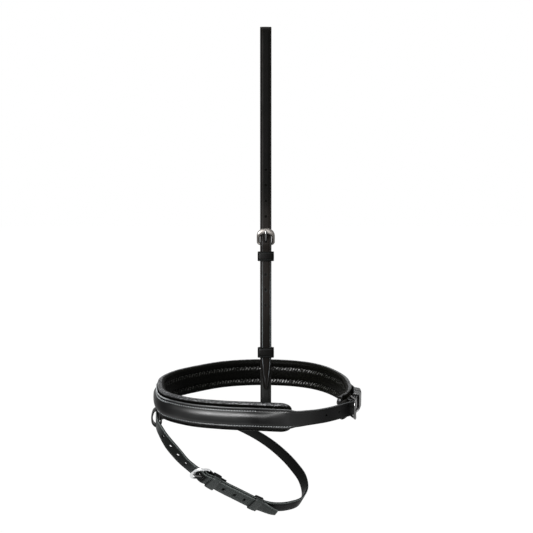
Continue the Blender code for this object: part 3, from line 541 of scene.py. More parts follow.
def dress(piece, body, look, slot, *nodes):
    """Give a finished piece its material, its body and the solids that it stands for."""
    piece.data.materials.clear()
    piece.data.materials.append(look)
    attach(piece, body)
    if nodes:
        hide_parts(*nodes)
    print(piece.name, len(piece.data.polygons), "faces")


# %% [markdown]
# ## Building a material
# A material is a tree of nodes. One function adds a node and fills its sockets, and the lists below read
# in the order of the sockets: a Math node takes its numbers, Map Range a value, where it starts and ends,
# and what it becomes there, and Mix a share and two colours.
# %% Colours and nodes


def colour(code):
    """A colour written as sRGB hex, in the linear values that shaders use."""
    made = []
    for k in (1, 3, 5):
        c = int(code[k:k + 2], 16) / 255
        made.append(c / 12.92 if c <= 0.04045 else ((c + 0.055) / 1.055) ** 2.4)
    return (*made, 1.0)


def join(node, links):
    """Fill a node's sockets, given by name or as a list in their order. A hex colour or a number is set;
    a node's first output, or a socket, is linked."""
    in_order = [socket for socket in node.inputs if socket.enabled]
    for key, value in links.items() if isinstance(links, dict) else enumerate(links):
        socket = node.inputs[key] if isinstance(key, str) else in_order[key]
        if isinstance(value, bpy.types.Node):
            value = next(output for output in value.outputs if output.enabled)
        if isinstance(value, bpy.types.NodeSocket):
            node.id_data.links.new(value, socket)
        else:
            socket.default_value = colour(value) if isinstance(value, str) else value


def add(tree, kind, links=(), **settings):
    """Add one node: settings name its own values, links fill its sockets."""
    node = tree.nodes.new("ShaderNode" + kind)
    for key, value in settings.items():
        setattr(node, key, value)
    join(node, links)
    return node


def blank(name):
    """A new material with its tree and shader."""
    look = bpy.data.materials.new(name)
    look.use_nodes = True
    return look, look.node_tree, look.node_tree.nodes["Principled BSDF"]


print("middle grey #808080 is %.3f in linear light" % colour("#808080")[0])

# %% [markdown]
# ## Shares that place a finish
# A change of colour, a painted highlight or painted shade follows the leather's shape: along the strap, or
# at some distance inside its edge. Two effects do most of that work, and both end in a share from 0 to 1
# that mixes two colours. Painted masks could do it too, but these keep their place in millimetres on every
# strap.
# %% A share along the strap and one beside a line
EASED = {"interpolation_type": "SMOOTHSTEP"}
COLOURS = {"data_type": "RGBA"}


def following(tree, value, stops):
    """A share that follows (place, height) stops, eased from one to the next."""
    low, high = stops[0][0], stops[-1][0]
    above = add(tree, "Math", [value, low], operation="SUBTRACT")
    node = add(tree, "ValToRGB", [add(tree, "Math", [above, high - low], operation="DIVIDE")])
    node.color_ramp.interpolation = "EASE"
    points = node.color_ramp.elements
    points[0].color, points[1].color = [(height, height, height, 1.0) for _, height in (stops[0], stops[-1])]
    for place, height in stops[1:-1]:
        points.new((place - low) / (high - low)).color = (height, height, height, 1.0)
    return node


def beside(tree, value, middle, full, none, high=1.0):
    """A share that is high where a value is within full of the middle one, and 0 beyond none."""
    away = add(tree, "Math", [value, middle], operation="SUBTRACT")
    away = add(tree, "Math", [away], operation="ABSOLUTE")
    return add(tree, "MapRange", [away, full, none, high, 0.0], **EASED)


def product(tree, one, *others):
    """Several shares or numbers multiplied together."""
    for other in others:
        one = add(tree, "Math", [one, other], operation="MULTIPLY")
    return one


print("shares ease as a", EASED["interpolation_type"].lower())

# %% [markdown]
# ## Leather
# Bridle leather is vegetable-tanned hide, dyed through, curried with wax and pressed smooth, so it is close
# to black, a little brown, and reflects softly. The pressed crease shows as a thin lighter line and the
# cut edge, dyed and slicked, is darker. Where asked, highlights are painted along the upper side and on the
# crease, and the seam's groove is painted dark as shade. One function makes all the leathers, because they
# differ only in how much of each they show. The scales are counts per metre, so each one's comment gives
# the size in millimetres.
# %% The leather material
DYE_SCALE = 85.0        # uneven dye and wax in patches 12 mm wide
SHINE_SCALE = 50.0      # shine that varies over 20 mm
PORE_SCALE = 1400.0     # pores 0.7 mm apart, with finer creases between them
WRINKLE_SCALE = 900.0
GRAIN_DEPTH = 0.00006   # in metres
SEAM_IN = 2.8           # the groove of the seam lies this far inside the edge
RIDGE_FOOT = 4.2        # and the foot of the raised middle this far
FAINT = 0.3             # share of the crease that is left in the middle, round the holes


def leather(name, face, patch, line, edge, rough, gloss, crease=0.7, groove=0.0, grain=0.5, tone=None,
            bright=None, rim=None, foot=None, lines=(CREASE_IN, CREASE_IN, 0.65, 0.0)):
    """Dyed leather: face in two tones, a lighter pressed crease, the cut edge, fine grain and uneven shine.
    tone = (colour, gloss, axis, stops) shifts the face and the shine along the strap; bright, rim and foot
    are (colour, axis, stops) for painted highlights: on the crease, on the upper front corner and at the
    upper foot of the ridge. groove is how far the seam's groove is painted dark, as shade.
    lines = how far the crease lies inside the one side and the other, half its width, and the half width
    of the middle, where only a faint ring of it shows round the holes."""
    look, tree, shader = blank(name)
    where = add(tree, "TexCoord").outputs["Object"]
    place = add(tree, "Attribute", attribute_name="place").outputs["Vector"]
    run, across, inside = add(tree, "SeparateXYZ", [place]).outputs
    x, _, height = add(tree, "SeparateXYZ", [where]).outputs
    source = {"run": run, "x": x, "height": height}

    dye = add(tree, "TexNoise", {"Vector": where, "Scale": DYE_SCALE, "Detail": 4.0})
    skin = add(tree, "Mix", [add(tree, "MapRange", [dye, 0.35, 0.65], **EASED), face, patch], **COLOURS)
    join(shader, {"Specular IOR Level": gloss})
    if tone:
        hue, shinier, axis, stops = tone
        share = following(tree, source[axis], stops)
        skin = add(tree, "Mix", [share, skin, hue], **COLOURS)
        gleam = add(tree, "MapRange", [share, 0.0, 1.0, gloss, shinier], **EASED)
        join(shader, {"Specular IOR Level": gleam})

    # the pressed crease, broken where the dye is uneven
    one_side, other_side, width, bare = lines
    middle = add(tree, "MapRange", [across, -1.0, 1.0, one_side, other_side], **EASED)
    broken = add(tree, "MapRange", [dye, 0.25, 0.6, 0.6, 1.0], **EASED)
    pressed = product(tree, beside(tree, inside, middle, width * 0.23, width, crease), broken)
    if bare:
        side = add(tree, "Math", [across], operation="ABSOLUTE")
        ring = add(tree, "MapRange", [side, bare - 0.3, bare + 0.3, FAINT, 1.0], **EASED)
        pressed = product(tree, pressed, ring)
    # where bright is given, the crease is painted lighter along the strap, a painted highlight
    if bright:
        hue, axis, stops = bright
        line = add(tree, "Mix", [following(tree, source[axis], stops), line, hue], **COLOURS)
    skin = add(tree, "Mix", [pressed, skin, line], **COLOURS)

    # the groove of the seam, painted dark as shade, and the cut edge and the back, whose distance is 0 or
    # less
    skin = add(tree, "Mix", [beside(tree, inside, SEAM_IN, 0.2, 0.7, groove), skin, edge], **COLOURS)
    cut_edge = add(tree, "MapRange", [inside, 0.0, 0.5, 0.85, 0.0], **EASED)
    skin = add(tree, "Mix", [cut_edge, skin, edge], **COLOURS)

    # painted highlights along the upper side only: the front corner and the foot of the ridge
    upper = add(tree, "MapRange", [across, 0.0, 1.0], **EASED)
    for lit, middle, reach in ((rim, 0.0, 0.4), (foot, RIDGE_FOOT, 1.0)):
        if lit:
            hue, axis, stops = lit
            share = beside(tree, inside, middle, reach * 0.4, reach)
            share = product(tree, share, upper, following(tree, source[axis], stops))
            skin = add(tree, "Mix", [share, skin, hue], **COLOURS)

    shine = add(tree, "TexNoise", {"Vector": where, "Scale": SHINE_SCALE, "Detail": 3.0})
    pores = add(tree, "TexVoronoi", {"Vector": where, "Scale": PORE_SCALE})
    wrinkles = add(tree, "TexNoise", {"Vector": where, "Scale": WRINKLE_SCALE, "Detail": 3.0})
    relief = add(tree, "Math", [pores, wrinkles], operation="ADD")
    join(shader, {
        "Base Color": skin,
        "Roughness": add(tree, "MapRange", [shine, 0.3, 0.7, rough - 0.05, rough + 0.08], **EASED),
        "Normal": add(tree, "Bump", {"Height": relief, "Strength": grain, "Distance": GRAIN_DEPTH})})
    return look


print("pores %.1f mm apart" % (1000 / PORE_SCALE))

# %% [markdown]
# ## Leathers of the headpiece
# The head strap's crease gets a painted highlight near the buckle, and the strap below has a brown cast.
# Heights are metres below the poll. The cheek strap is duller, and the keepers, which hands slide up and
# down, are smoother.
# %% Bridle and keeper leather
brown_cast = [(-0.45, 0.4), (-0.34, 0.4), (-0.29, 1), (-0.22, 1), (-0.17, 0), (0, 0)]
# a painted highlight on the crease at these heights
painted_crease_highlight = [(-0.46, 0), (-0.395, 0), (-0.375, 0.7), (-0.29, 0.85), (-0.255, 0.25), (-0.2, 0), (0, 0)]
# curried and pressed: nearly no shine, so that the creases stand out
bridle = leather("bridle_leather_black", face="#090908", patch="#0d0c0b", line="#231f1b", edge="#0a0a08",
                 rough=0.45, gloss=0.015, crease=0.75, tone=("#1d1916", 0.03, "height", brown_cast),
                 bright=("#a3acb2", "height", painted_crease_highlight), lines=(2.5, 1.3, 0.45, 3.0))
# the same leather without the brown cast and without the painted highlight on the crease
plain_bridle = leather("plain_bridle_leather", face="#131412", patch="#191a18", line="#262523",
                       edge="#0b0b09", rough=0.45, gloss=0.05, crease=0.4)
# handled keepers, a little smoother
ring_leather = leather("keeper_leather", face="#090908", patch="#0d0c0b", line="#4c5051", edge="#090908",
                       rough=0.34, gloss=0.03, crease=0.2)
print("bridle leather made with", len(bridle.node_tree.nodes), "nodes")

# %% [markdown]
# ## Leathers of the noseband
# The front of the noseband has a thin glossy coat of finish. Its face is painted darker, as shade, and made
# less glossy at the nose end, just before the middle and towards the chin, and near the nose end its upper
# edge and the upper foot of its ridge get painted highlights. The keepers at the chin share the gloss, and
# the flash loop is plain. Places are metres along x, from the nose to the chin.
# %% Glossy, chin keeper and loop leather
# painted shade along x: where these stops are high the face is darker and less glossy
painted_shade_along_x = [(-0.2, 1), (-0.124, 1), (-0.096, 0.2), (-0.07, 0), (-0.03, 0), (-0.01, 0.65), (0.03, 0),
               (0.075, 0.7), (0.2, 1)]
# painted highlights along x: on the upper edge, faint after the nose end, and at the upper foot of the ridge
painted_rim_highlight = [(-0.2, 1), (-0.118, 0.8), (-0.108, 0.15), (0.05, 0.15), (0.2, 0.1)]
painted_ridge_highlight = [(-0.2, 1), (-0.12, 0.7), (-0.11, 0), (0.2, 0)]
# the coat hides the crease and fills the grain, and the thread's groove is painted dark, as shade
front = leather("glossy_noseband_leather", face="#101111", patch="#141515", line="#101111", edge="#0b0b0a",
                rough=0.36, gloss=0.22, groove=0.8, grain=0.3, tone=("#0c0c0c", 0.05, "x", painted_shade_along_x),
                rim=("#b5b9bb", "x", painted_rim_highlight), foot=("#a3a8aa", "x", painted_ridge_highlight))
# the same coat on thinner leather; its creases are painted bright, a painted highlight
chin_ring = leather("chin_keeper_leather", face="#131414", patch="#1b1c1c", line="#8f9497", edge="#0b0b0a",
                    rough=0.3, gloss=0.3, crease=0.9)
# waxed but not coated
loop_leather = leather("loop_leather", face="#0e0e0e", patch="#131313", line="#2a2b2b", edge="#0b0b0a",
                       rough=0.4, gloss=0.08, crease=0.3)
print("glossy leather made with", len(front.node_tree.nodes), "nodes")

# %% [markdown]
# ## Leathers of the flash
# The flash strap is dull. Past its buckle and at the loop its face is painted greyer and made glossier, as
# painted light, and its upper front corner gets a painted highlight all along. The stops are millimetres
# along the strap before and past its buckle.
# %% Waxed leather
at_frame = flash_line.length + 36.0   # the folded end comes first, so the buckle is met at this length
# painted light: where these stops are high the face is greyer and glossier
painted_flash_light = [(at_frame + past, share) for past, share in (
    (-700, 0), (-120, 0), (-108, 0.5), (-84, 0.5), (-72, 0.05), (-30, 0.1), (-15, 0.4), (-10, 0), (1, 0),
    (5, 1), (24, 0.7), (40, 0.7), (104, 0.6))]
# rim: a painted highlight on the upper front corner, all along the strap
waxed = leather("waxed_flash_leather_painted_light", face="#0f100f", patch="#151615", line="#5f6664", edge="#0e0f0e",
                rough=0.42, gloss=0.04, crease=0.3, grain=0.05, tone=("#424847", 0.25, "run", painted_flash_light),
                rim=("#7b8280", "run", [(0, 0.7), (900, 0.7)]))
# on a keeper the front, the first stretch of the ring, is painted greyer and glossier, as painted light
painted_keeper_light = [(0, 0), (1.2, 0.2), (2.6, 1), (17, 1), (19, 0), (80, 0)]
waxed_ring = leather("waxed_keeper_leather_painted_light", face="#0e0f0e", patch="#121312", line="#5b6160",
                     edge="#0d0e0d", rough=0.42, gloss=0.04, crease=0.15, grain=0.05,
                     tone=("#343938", 0.3, "run", painted_keeper_light))
print("waxed leather made with", len(waxed.node_tree.nodes), "nodes")

# %% [markdown]
# ## Lining
# The pad is covered in soft, thin lining leather with a pebbled grain, nearly black, painted darker in the
# pebbles' hollows as shade. Below each row of quilting the pull of the thread makes slanting puckers, whose
# crests are painted lighter as highlights, and the top of the outer roll and two turned edges at the chin
# end get painted glints. The puckers follow the place on the pad.
# %% Soft lining leather
TONE_SCALE = 420.0      # fine unevenness 2.4 mm wide
PEBBLE_SCALE = 900.0    # pebbles 1.1 mm wide
PEBBLE_DEPTH = 0.0003   # in metres


def soft_lining():
    """Lining leather with fine pebbles, painted shade in their hollows and painted highlights on the puckers
    and edges.
    """
    look, tree, shader = blank("soft_lining_leather")
    where = add(tree, "TexCoord").outputs["Object"]
    tone = add(tree, "TexNoise", {"Vector": where, "Scale": TONE_SCALE, "Detail": 4.0})
    pebble = add(tree, "TexVoronoi", {"Vector": where, "Scale": PEBBLE_SCALE})
    place = add(tree, "Attribute", attribute_name="place").outputs["Vector"]
    run, high, out = add(tree, "SeparateXYZ", [place]).outputs
    across = add(tree, "SeparateXYZ", [where]).outputs["X"]

    def between(value, start, full, last, end):
        """A share that is 1 between two places and fades outside them."""
        return product(tree, add(tree, "MapRange", [value, start, full], **EASED),
                       add(tree, "MapRange", [value, last, end, 1.0, 0.0], **EASED))

    # slanting puckers 3.6 mm apart on the inner side, in the 3 mm below each row of stitches; their crests
    # get a painted highlight
    slope = add(tree, "Math", [product(tree, run, 1.75), product(tree, high, 1.1)], operation="ADD")
    wave = add(tree, "MapRange", [add(tree, "Math", [slope], operation="SINE"), -0.7, 1.0], **EASED)
    rows = add(tree, "Math", [between(high, 3.6, 6.2, 7.0, 8.2), between(high, -12.5, -9.8, -9.0, -7.8)],
               operation="ADD")
    inner = product(tree, rows, add(tree, "MapRange", [out, -1.6, -0.8, 1.0, 0.0], **EASED))
    speck = add(tree, "MapRange", [tone, 0.4, 0.6], **EASED)
    pucker = product(tree, inner, product(tree, wave, speck),
                     add(tree, "MapRange", [across, -0.09, -0.01, 0.4, 1.0], **EASED))

    # painted glints, as highlights, on the top of the outer roll and on two turned edges at the chin end
    rolled = product(tree, add(tree, "MapRange", [out, -1.3, -0.2], **EASED),
                     add(tree, "MapRange", [high, 13.8, 15.6], **EASED))
    painted_glint = product(tree, rolled, add(tree, "MapRange", [tone, 0.45, 0.62, 0.3, 1.2], **EASED))
    for turned in (0.6, 3.4):
        painted_glint = add(tree, "Math", [painted_glint, beside(tree, run, turned, 0.3, 0.7, 0.9)], operation="MAXIMUM")

    warm = add(tree, "MapRange", [across, -0.02, 0.06], **EASED)
    base = add(tree, "Mix", [warm, "#0d0e0b", "#16170f"], **COLOURS)
    # painted shade: the hollows between the pebbles are darker
    pebble_shade = add(tree, "MapRange", [pebble, 0.15, 0.6], **EASED)
    base = add(tree, "Mix", [pebble_shade, base, "#050504"], **COLOURS)
    # painted highlights: the glints, and the crests of the puckers
    base = add(tree, "Mix", [product(tree, painted_glint, 0.6), base, "#55575a"], **COLOURS)
    base = add(tree, "Mix", [pucker, base, "#3b3c37"], **COLOURS)
    shine = add(tree, "Math", [product(tree, painted_glint, 0.4), product(tree, pucker, 0.5)], operation="ADD")
    relief = add(tree, "Math", [tone, pebble], operation="SUBTRACT")
    join(shader, {
        "Base Color": base,
        "Specular IOR Level": add(tree, "Math", [shine, 0.015], operation="ADD"),
        "Roughness": add(tree, "MapRange", [tone, 0.3, 0.7, 0.5, 0.3], **EASED),
        "Normal": add(tree, "Bump", {"Height": relief, "Strength": 1.0, "Distance": PEBBLE_DEPTH})})
    return look


lining = soft_lining()
print("lining made with", len(lining.node_tree.nodes), "nodes")

# %% [markdown]
# ## Steel
# The buckles are stainless steel, cast, tumbled and polished on a mop. Each is a mirror with a faint cloud
# of buffing marks, which spreads its reflections unevenly; handling dulls it further. The three buckles
# differ in tone by painted reflection and painted shade: the head and chin buckles and all the tongues are
# painted dark, the flash buckle bright.
# %% Polished stainless steel
BUFFING_SCALE = 120.0   # buffing marks 8 mm wide


def polished_steel(name, code, worn=0.0):
    """Polished stainless steel; worn is added to its roughness."""
    look, tree, shader = blank(name)
    where = add(tree, "TexCoord").outputs["Object"]
    buffing = add(tree, "TexNoise", {"Vector": where, "Scale": BUFFING_SCALE, "Detail": 3.0})
    join(shader, {
        "Base Color": code, "Metallic": 1.0,
        "Roughness": add(tree, "MapRange", [buffing, 0.2, 0.8, 0.1 + worn, 0.25 + worn], **EASED)})
    return look


# painted reflection and painted shade: a dark copy for the head and chin buckles and the tongues, a bright
# copy for the flash buckle
steel = polished_steel("polished_stainless_steel", "#5e5e5e")
dull_steel_painted_dark = polished_steel("handled_steel_painted_dark", "#5c5956", 0.2)
steel_painted_bright = polished_steel("stainless_steel_painted_bright", "#d9dadb")
print("buffing marks %.0f mm wide" % (1000 / BUFFING_SCALE))

# %% [markdown]
# ## Thread and hidden layers
# The thread is waxed. On the front seams it is painted pale, a painted highlight, and dark where it lies in
# shade, a painted shade. The backing is split leather and the filler undyed; both are only seen when the
# part is taken to pieces, so two mottled tones are enough for them. The solids of these two layers stay and
# just get the new material.
# %% Thread, backing and filler


def plain(name, one, two, scale, rough):
    """A simple material of two mottled tones."""
    look, tree, shader = blank(name)
    where = add(tree, "TexCoord").outputs["Object"]
    tone = add(tree, "TexNoise", {"Vector": where, "Scale": scale, "Detail": 4.0})
    join(shader, {
        "Base Color": add(tree, "Mix", [tone, one, two], **COLOURS), "Roughness": rough,
        "Normal": add(tree, "Bump", {"Height": tone, "Strength": 0.4, "Distance": 0.0001})})
    return look


# strands 1.1 mm long in the thread, and fibres 3 mm and 5 mm wide in the two leathers
# the pale thread is a painted highlight on the front seams; the dark thread is the seam's end in painted
# shade, and the flap stitches
thread = plain("waxed_thread_painted_pale", "#8b9092", "#a9aeb0", 900.0, 0.45)
lining_thread = plain("lining_thread", "#262622", "#3a3a35", 900.0, 0.5)
dark_thread = plain("dark_thread", "#232322", "#343433", 900.0, 0.5)
split = plain("split_backing_leather", "#15140f", "#26231d", 300.0, 0.8)
tan = plain("undyed_filler_leather", "#8a6a45", "#a98659", 200.0, 0.8)
for node, look in (("nose_backing", split), ("nose_raised_filler", tan)):
    for part in bpy.data.objects[node].material_slots:
        part.material = look
print("materials in the scene:", len(bpy.data.materials))

# %% [markdown]
# ## Head strap and cheek strap
# One long strap hangs over the poll. Its pointed end comes down the near side, through the buckle and two
# keepers; its other end goes down the far side into the pad. The short cheek strap below holds the buckle
# in a fold called a chape, whose flap is stitched down behind the fixed keeper. Both are the same extruded
# section; only the pointed end needs a section of its own.
# %% The two straps
HEAD_BUCKLE_UP = 171.5   # the buckle above the pad's bend; the rest is measured from the buckle
HEAD_TIP = 163.5
HEAD_POINT = 36.0        # length of the pointed end
HEAD_FLAP = 26.0
HEAD_HOLES_UP = (83.0, 65.5, 47.8, 30.5, -34.5, -51.5, -69.0)
BEND_ROOM = 2.0          # the bend is taken to start this far above its middle
bend_s = head_line.length - (HEAD_BEND_Z + BEND_ROOM - HEAD_END_Z)
head_s = bend_s - HEAD_BUCKLE_UP
head_path = eased([(0, 0.0)] + over_buckle(head_s, HEAD_TIP))


def head_section(s, run, total):
    """The head strap's section, narrowing to a point over its last stretch."""
    left = max(0.0, min(1.0, (total - run) / HEAD_POINT))
    return flat_section(HEAD_HALF * min(1.0, 0.2 + 0.8 * left ** 0.58))


head_strap = strap("head_strap_finished", head_line, head_path, head_section)
cheek_path = folded(head_s, HEAD_FLAP) + eased([(head_s + RUN_OUT, 0.0), (head_line.length, 0.0)])[1:]
cheek_strap = strap("cheek_strap_finished", head_line, cheek_path,
                    lambda s, run, total: flat_section(CHEEK_HALF))
holes = punch(head_line, [(head_s - up, LAYER if up < 0 else 0.0, 0.0) for up in HEAD_HOLES_UP])
slot = tongue_slot(head_line, head_s)
cut(head_strap, holes, slot)
cut(cheek_strap, slot)
drop(holes, slot)
dress(head_strap, BODY, bridle, "bridle_leather", "head_strap")
dress(cheek_strap, BODY, plain_bridle, "bridle_leather", "near_cheek_strap")

# %% [markdown]
# ## The padded noseband
# The pad is foam in a sleeve of lining leather. Two rows of stitching draw it down into a roll above, a
# flatter middle and a roll below, and pucker the lining along each row. Its form is one closed skin: the
# outline of its section is extruded along the band, with the puckers and a little slackness moved in by
# formula, because the real pad is pulled tight and a cloth simulation would only blur the sewn channels.
# %% Outline of the pad
PAD_HALF = 16.9        # half its height, its back behind the middle line, and the rolls before its front
PAD_BACK = 4.5
PAD_BULGE = 0.7
PAD_CORNER_R = 7.5     # rounded corner of the chin end
NEAR_ROUND = 13.0      # the near end is rounded over this length, and loses this much of its half height
NEAR_LOSS = 7.2
GUARD_LENGTH = 42.0    # the free end behind the chin buckle: lower, thinner and flatter in front
GUARD_HALF = 15.2
GUARD_THIN = 0.8
GUARD_FRONT = 1.3
GUARD_FLAT = 22.0      # its front drops back along the next length
GUARD_STEP = 20.0
PAD_TAPER = 150.0      # the pad reaches its full height this far from the chin
STITCH_PITCH = 5.2     # quilting stitches, which pull the lining in, and two waves of slackness
SLACK_PITCH = 9.7, 4.3


def corner_loss(left, length, depth):
    """What a rounded end takes off the half height, at a place that is left from the end."""
    share = 1 - min(left, length) / length
    return depth * (1 - math.sqrt(1 - share ** 2))


def pad_size(s):
    """Half height and thickness share of the pad at a length from the chin end."""
    thick = 1.0
    half = GUARD_HALF + (PAD_HALF - GUARD_HALF) * smooth(s / PAD_TAPER)
    if s < GUARD_LENGTH:
        thick = GUARD_THIN + (1 - GUARD_THIN) * math.sqrt(s / GUARD_LENGTH)
    left = pad_line.length - s
    if left < PAD_CORNER_R:
        thick *= 0.8 + 0.2 * math.sqrt(left / PAD_CORNER_R)
    half -= corner_loss(s, PAD_CORNER_R, PAD_CORNER_R) + corner_loss(left, NEAR_ROUND, NEAR_LOSS)
    return half, thick


def pad_ring(s):
    """The pad's outside as (height, outward) points, a recess for the backing in front."""
    half, thick = pad_size(s)
    f = GUARD_FRONT + (PAD_FRONT - GUARD_FRONT) * smooth((s - GUARD_FLAT) / GUARD_STEP)
    back = PAD_BACK * thick
    bulge = PAD_BULGE * smooth((half / PAD_HALF - 0.9) / 0.1)
    draw = 0.5 + 0.5 * math.cos(2 * math.pi * s / STITCH_PITCH)
    slow, quick = SLACK_PITCH
    slack = 0.06 * math.sin(2 * math.pi * s / slow) + 0.05 * math.sin(2 * math.pi * s / quick + 1.0)
    rows = [(0, f - 1.6), (0.3, f - 1.6), (0.5, f - 1.6), (0.545, f - 1.3), (0.565, f - 0.3), (0.6, f),
            (0.68, f), (0.75, f), (0.81, f + bulge * 0.7), (0.87, f + bulge), (0.93, f + bulge * 0.8),
            (0.975, f * 0.75), (1.0, f * 0.45), (1.003, 0.0), (0.995, -0.3 * back), (0.965, -0.6 * back),
            (0.92, -0.82 * back), (0.86, -0.95 * back), (0.79, -back), (0.72, -0.99 * back + slack),
            (0.65, (-0.94 + 0.03 * draw) * back), (0.59, (-0.87 + 0.09 * draw) * back),
            (0.54, (-0.76 + 0.12 * draw) * back), (0.505, -0.62 * back), (0.475, -0.52 * back),
            (0.445, -0.6 * back), (0.41, (-0.72 + 0.1 * draw) * back), (0.36, (-0.8 + 0.07 * draw) * back),
            (0.3, (-0.85 + 0.03 * draw) * back), (0.2, -0.88 * back + slack), (0.1, -0.89 * back)]
    upper = [(half * share, d) for share, d in rows]
    return upper + [(-z, d) for z, d in [(0, -0.89 * back)] + upper[:0:-1]]


print("the pad is %.1f mm high at its middle" % (2 * pad_size(pad_line.length / 2)[0]))

# %% [markdown]
# ## Skin of the pad
# The outline is extruded along the pad's line, with stations closer together where the ends are round. The
# ends of the head strap run into pockets between lining and leather, which are cut as two boxes.
# %% Skin and pockets
STATION = 1.25
CHIN_STATIONS, NEAR_STATIONS = 12, 16
POCKET_LENGTH = 22.0 + 8.3   # from just below the strap's end up through the top of the pad
POCKET_MIDDLE = 14.85
pad_at = [PAD_CORNER_R * (k / CHIN_STATIONS) ** 2 for k in range(CHIN_STATIONS)]
straight = pad_line.length - PAD_CORNER_R - NEAR_ROUND
count = round(straight / STATION)
pad_at += [PAD_CORNER_R + straight * k / count for k in range(count)]
pad_at += [pad_line.length - NEAR_ROUND * (1 - k / NEAR_STATIONS) ** 2 for k in range(NEAR_STATIONS + 1)]
pad_mesh = new_mesh()
outlines = [pad_ring(s) for s in pad_at]
extrude_rings(pad_mesh, [[pad_line.place(s, d, z) for z, d in ring] for s, ring in zip(pad_at, outlines)],
              [[(s, z, d) for z, d in ring] for s, ring in zip(pad_at, outlines)])
pad = finish_mesh("nose_pad_cushion", pad_mesh, ROUND)
pockets = []
for at, up in ((head_line.length, -1), (0.0, 1)):
    box = new_mesh()
    size = Matrix.Diagonal((POCKET_LENGTH, STRAP_T + 2 * GAP, 2 * HEAD_HALF + 2 * GAP, 1.0))
    origin, along, _, _ = head_line.at(at)
    axes = matrix_at(head_line, at)
    axes.translation = origin + along * (POCKET_MIDDLE * up)
    bmesh.ops.create_cube(box, size=1.0, matrix=axes @ size)
    pockets.append(finish_mesh("pocket", box))
cut(pad, *pockets, sharp=ROUND)
drop(*pockets)
dress(pad, BODY, lining, "soft_lining", "nose_lining", "nose_foam_pad")

# %% [markdown]
# ## Front leather of the noseband
# One long piece: folded round the chin buckle, along the chape, round the far side and the nose, and past
# the pad as the near strap, whose pointed end goes through the buckle again. Round the nose it is wider and
# raised over a filler, with a stitched line at the foot of the ridge on each side. The same extrusion makes
# it, with a section that widens and rises on the way.
# %% Raised section
RAISE = 3.4            # height of the ridge, and how much lower than the leather's middle it lies
RIDGE_SAG = 0.8
RAISE_FAR = 26.0       # lengths in which it rises from the chin side and falls towards the near strap
RAISE_NEAR = 34.0
WIDE_FAR = 34.0        # lengths in which the leather widens, and how long before the seam that starts
WIDE_BEFORE = 12.0
WIDE_NEAR = 12.0       # it narrows again past the pad, a third of it spread further along the near strap
WIDE_PAST = 6.0
WIDE_TAIL = 26.0
WIDE_SPREAD = 38.0
CHIN_POINT = 16.0      # length of the pointed end
SEAM_HALF = 8.85       # the groove of the seam, from the middle of the widest leather
CHIN_ON = 2.5          # the buckle's heel bar is this far along the chape
chin_s = nose_line.nearest((*CHAPE_RUN[1], 0)) + CHIN_ON
turn_s = nose_line.length
near_end_s = nose_line.nearest((*PAD_MID[-1], 0))
far_sewn_s = nose_line.nearest(sewn_points[0])


def nose_raise(s):
    """How far the middle is raised, 0 to 1, and the half width."""
    share = smooth((s - far_sewn_s) / RAISE_FAR) * smooth((near_end_s - s) / RAISE_NEAR)
    past = near_end_s + WIDE_PAST - s
    near = 0.65 * smooth(past / WIDE_NEAR) + 0.35 * smooth((past + WIDE_TAIL) / WIDE_SPREAD)
    wide = smooth((s - far_sewn_s + WIDE_BEFORE) / WIDE_FAR) * near
    return share, CHIN_HALF + (NOSE_HALF - CHIN_HALF) * wide


def nose_section(s, run, total):
    """Front leather: flat stitched edges and a raised middle, hollow behind."""
    share, half = nose_raise(s)
    half *= min(1.0, 0.45 + 0.55 * (total - run) / CHIN_POINT)
    sag = RIDGE_SAG * share
    rows = half / NOSE_HALF
    t, lift = STRAP_T / 2, RAISE * share
    edge = [(half - 1.5, t, 1.5), (9.35 * rows, t, 2.0), (SEAM_HALF * rows, t - 0.28, SEAM_IN),
            (8.4 * rows, t - 0.1, 3.4)]
    dome = [(8.1, 0.0, 4.0), (7.7, 0.13, 5.0), (7.1, 0.29, 7.0), (6.3, 0.47, 9.0), (5.2, 0.68, 9.0),
            (3.9, 0.85, 9.0), (2.5, 0.96, 9.0), (1.0, 1.0, 9.0)]
    hollow = [(6.8, 0.0), (5.8, 0.32), (4.4, 0.62), (3.0, 0.86), (1.5, 1.0)]
    upper = [(a, b, 0.0) for a, b in corner(half, t, EDGE_R, 0)] + edge
    upper += [(z * rows, t + lift * up, e) for z, up, e in dome]
    lower = [(a, b, -1.0) for a, b in reversed(corner(half, -t, EDGE_R, 270))]
    lower += [(z * rows, -t + lift * up, -1.0) for z, up in hollow]
    ring = upper + [(-a, b, e) for a, b, e in reversed(upper)] + [(-a, b, e) for a, b, e in lower]
    ring += list(reversed(lower))
    return [(a - sag * smooth((half - abs(a)) / 2.5), b, e) for a, b, e in ring]


print("front leather: %d points round, buckle at %.0f mm"
      % (len(nose_section(turn_s / 2, 0, turn_s)), chin_s))

# %% [markdown]
# ## The front leather's path
# Past the near end of the pad this leather is a plain strap, and it meets its own beginning at the chin
# buckle. The line is closed, so lengths past its end simply start a second round.
# %% The front leather
CHIN_FLAP = 11.5
CHIN_TIP = 56.0
CHIN_HOLES_BACK = (-23.8, 28.4, 47.0)
CHIN_HOLE_R = 1.3
HOLE_DEPTH = 1.8       # the two holes before the buckle aren't punched through
BLIND = STRAP_T / 2 + PUNCH_DEPTH / 2 - HOLE_DEPTH
nose_path = (folded(chin_s, CHIN_FLAP)
             + eased([(chin_s + RUN_OUT, 0.0), (turn_s + chin_s - RUN_IN, 0.0)])[1:]
             + eased(over_buckle(turn_s + chin_s, CHIN_TIP))[1:])
noseband = strap("noseband_front_finished", nose_line, nose_path, nose_section)
chin_holes = punch(nose_line, [(turn_s + chin_s - back, LAYER if back < 0 else BLIND, 0.0)
                               for back in CHIN_HOLES_BACK], CHIN_HOLE_R)
slot = tongue_slot(nose_line, chin_s)
cut(noseband, chin_holes, slot)
drop(chin_holes, slot)
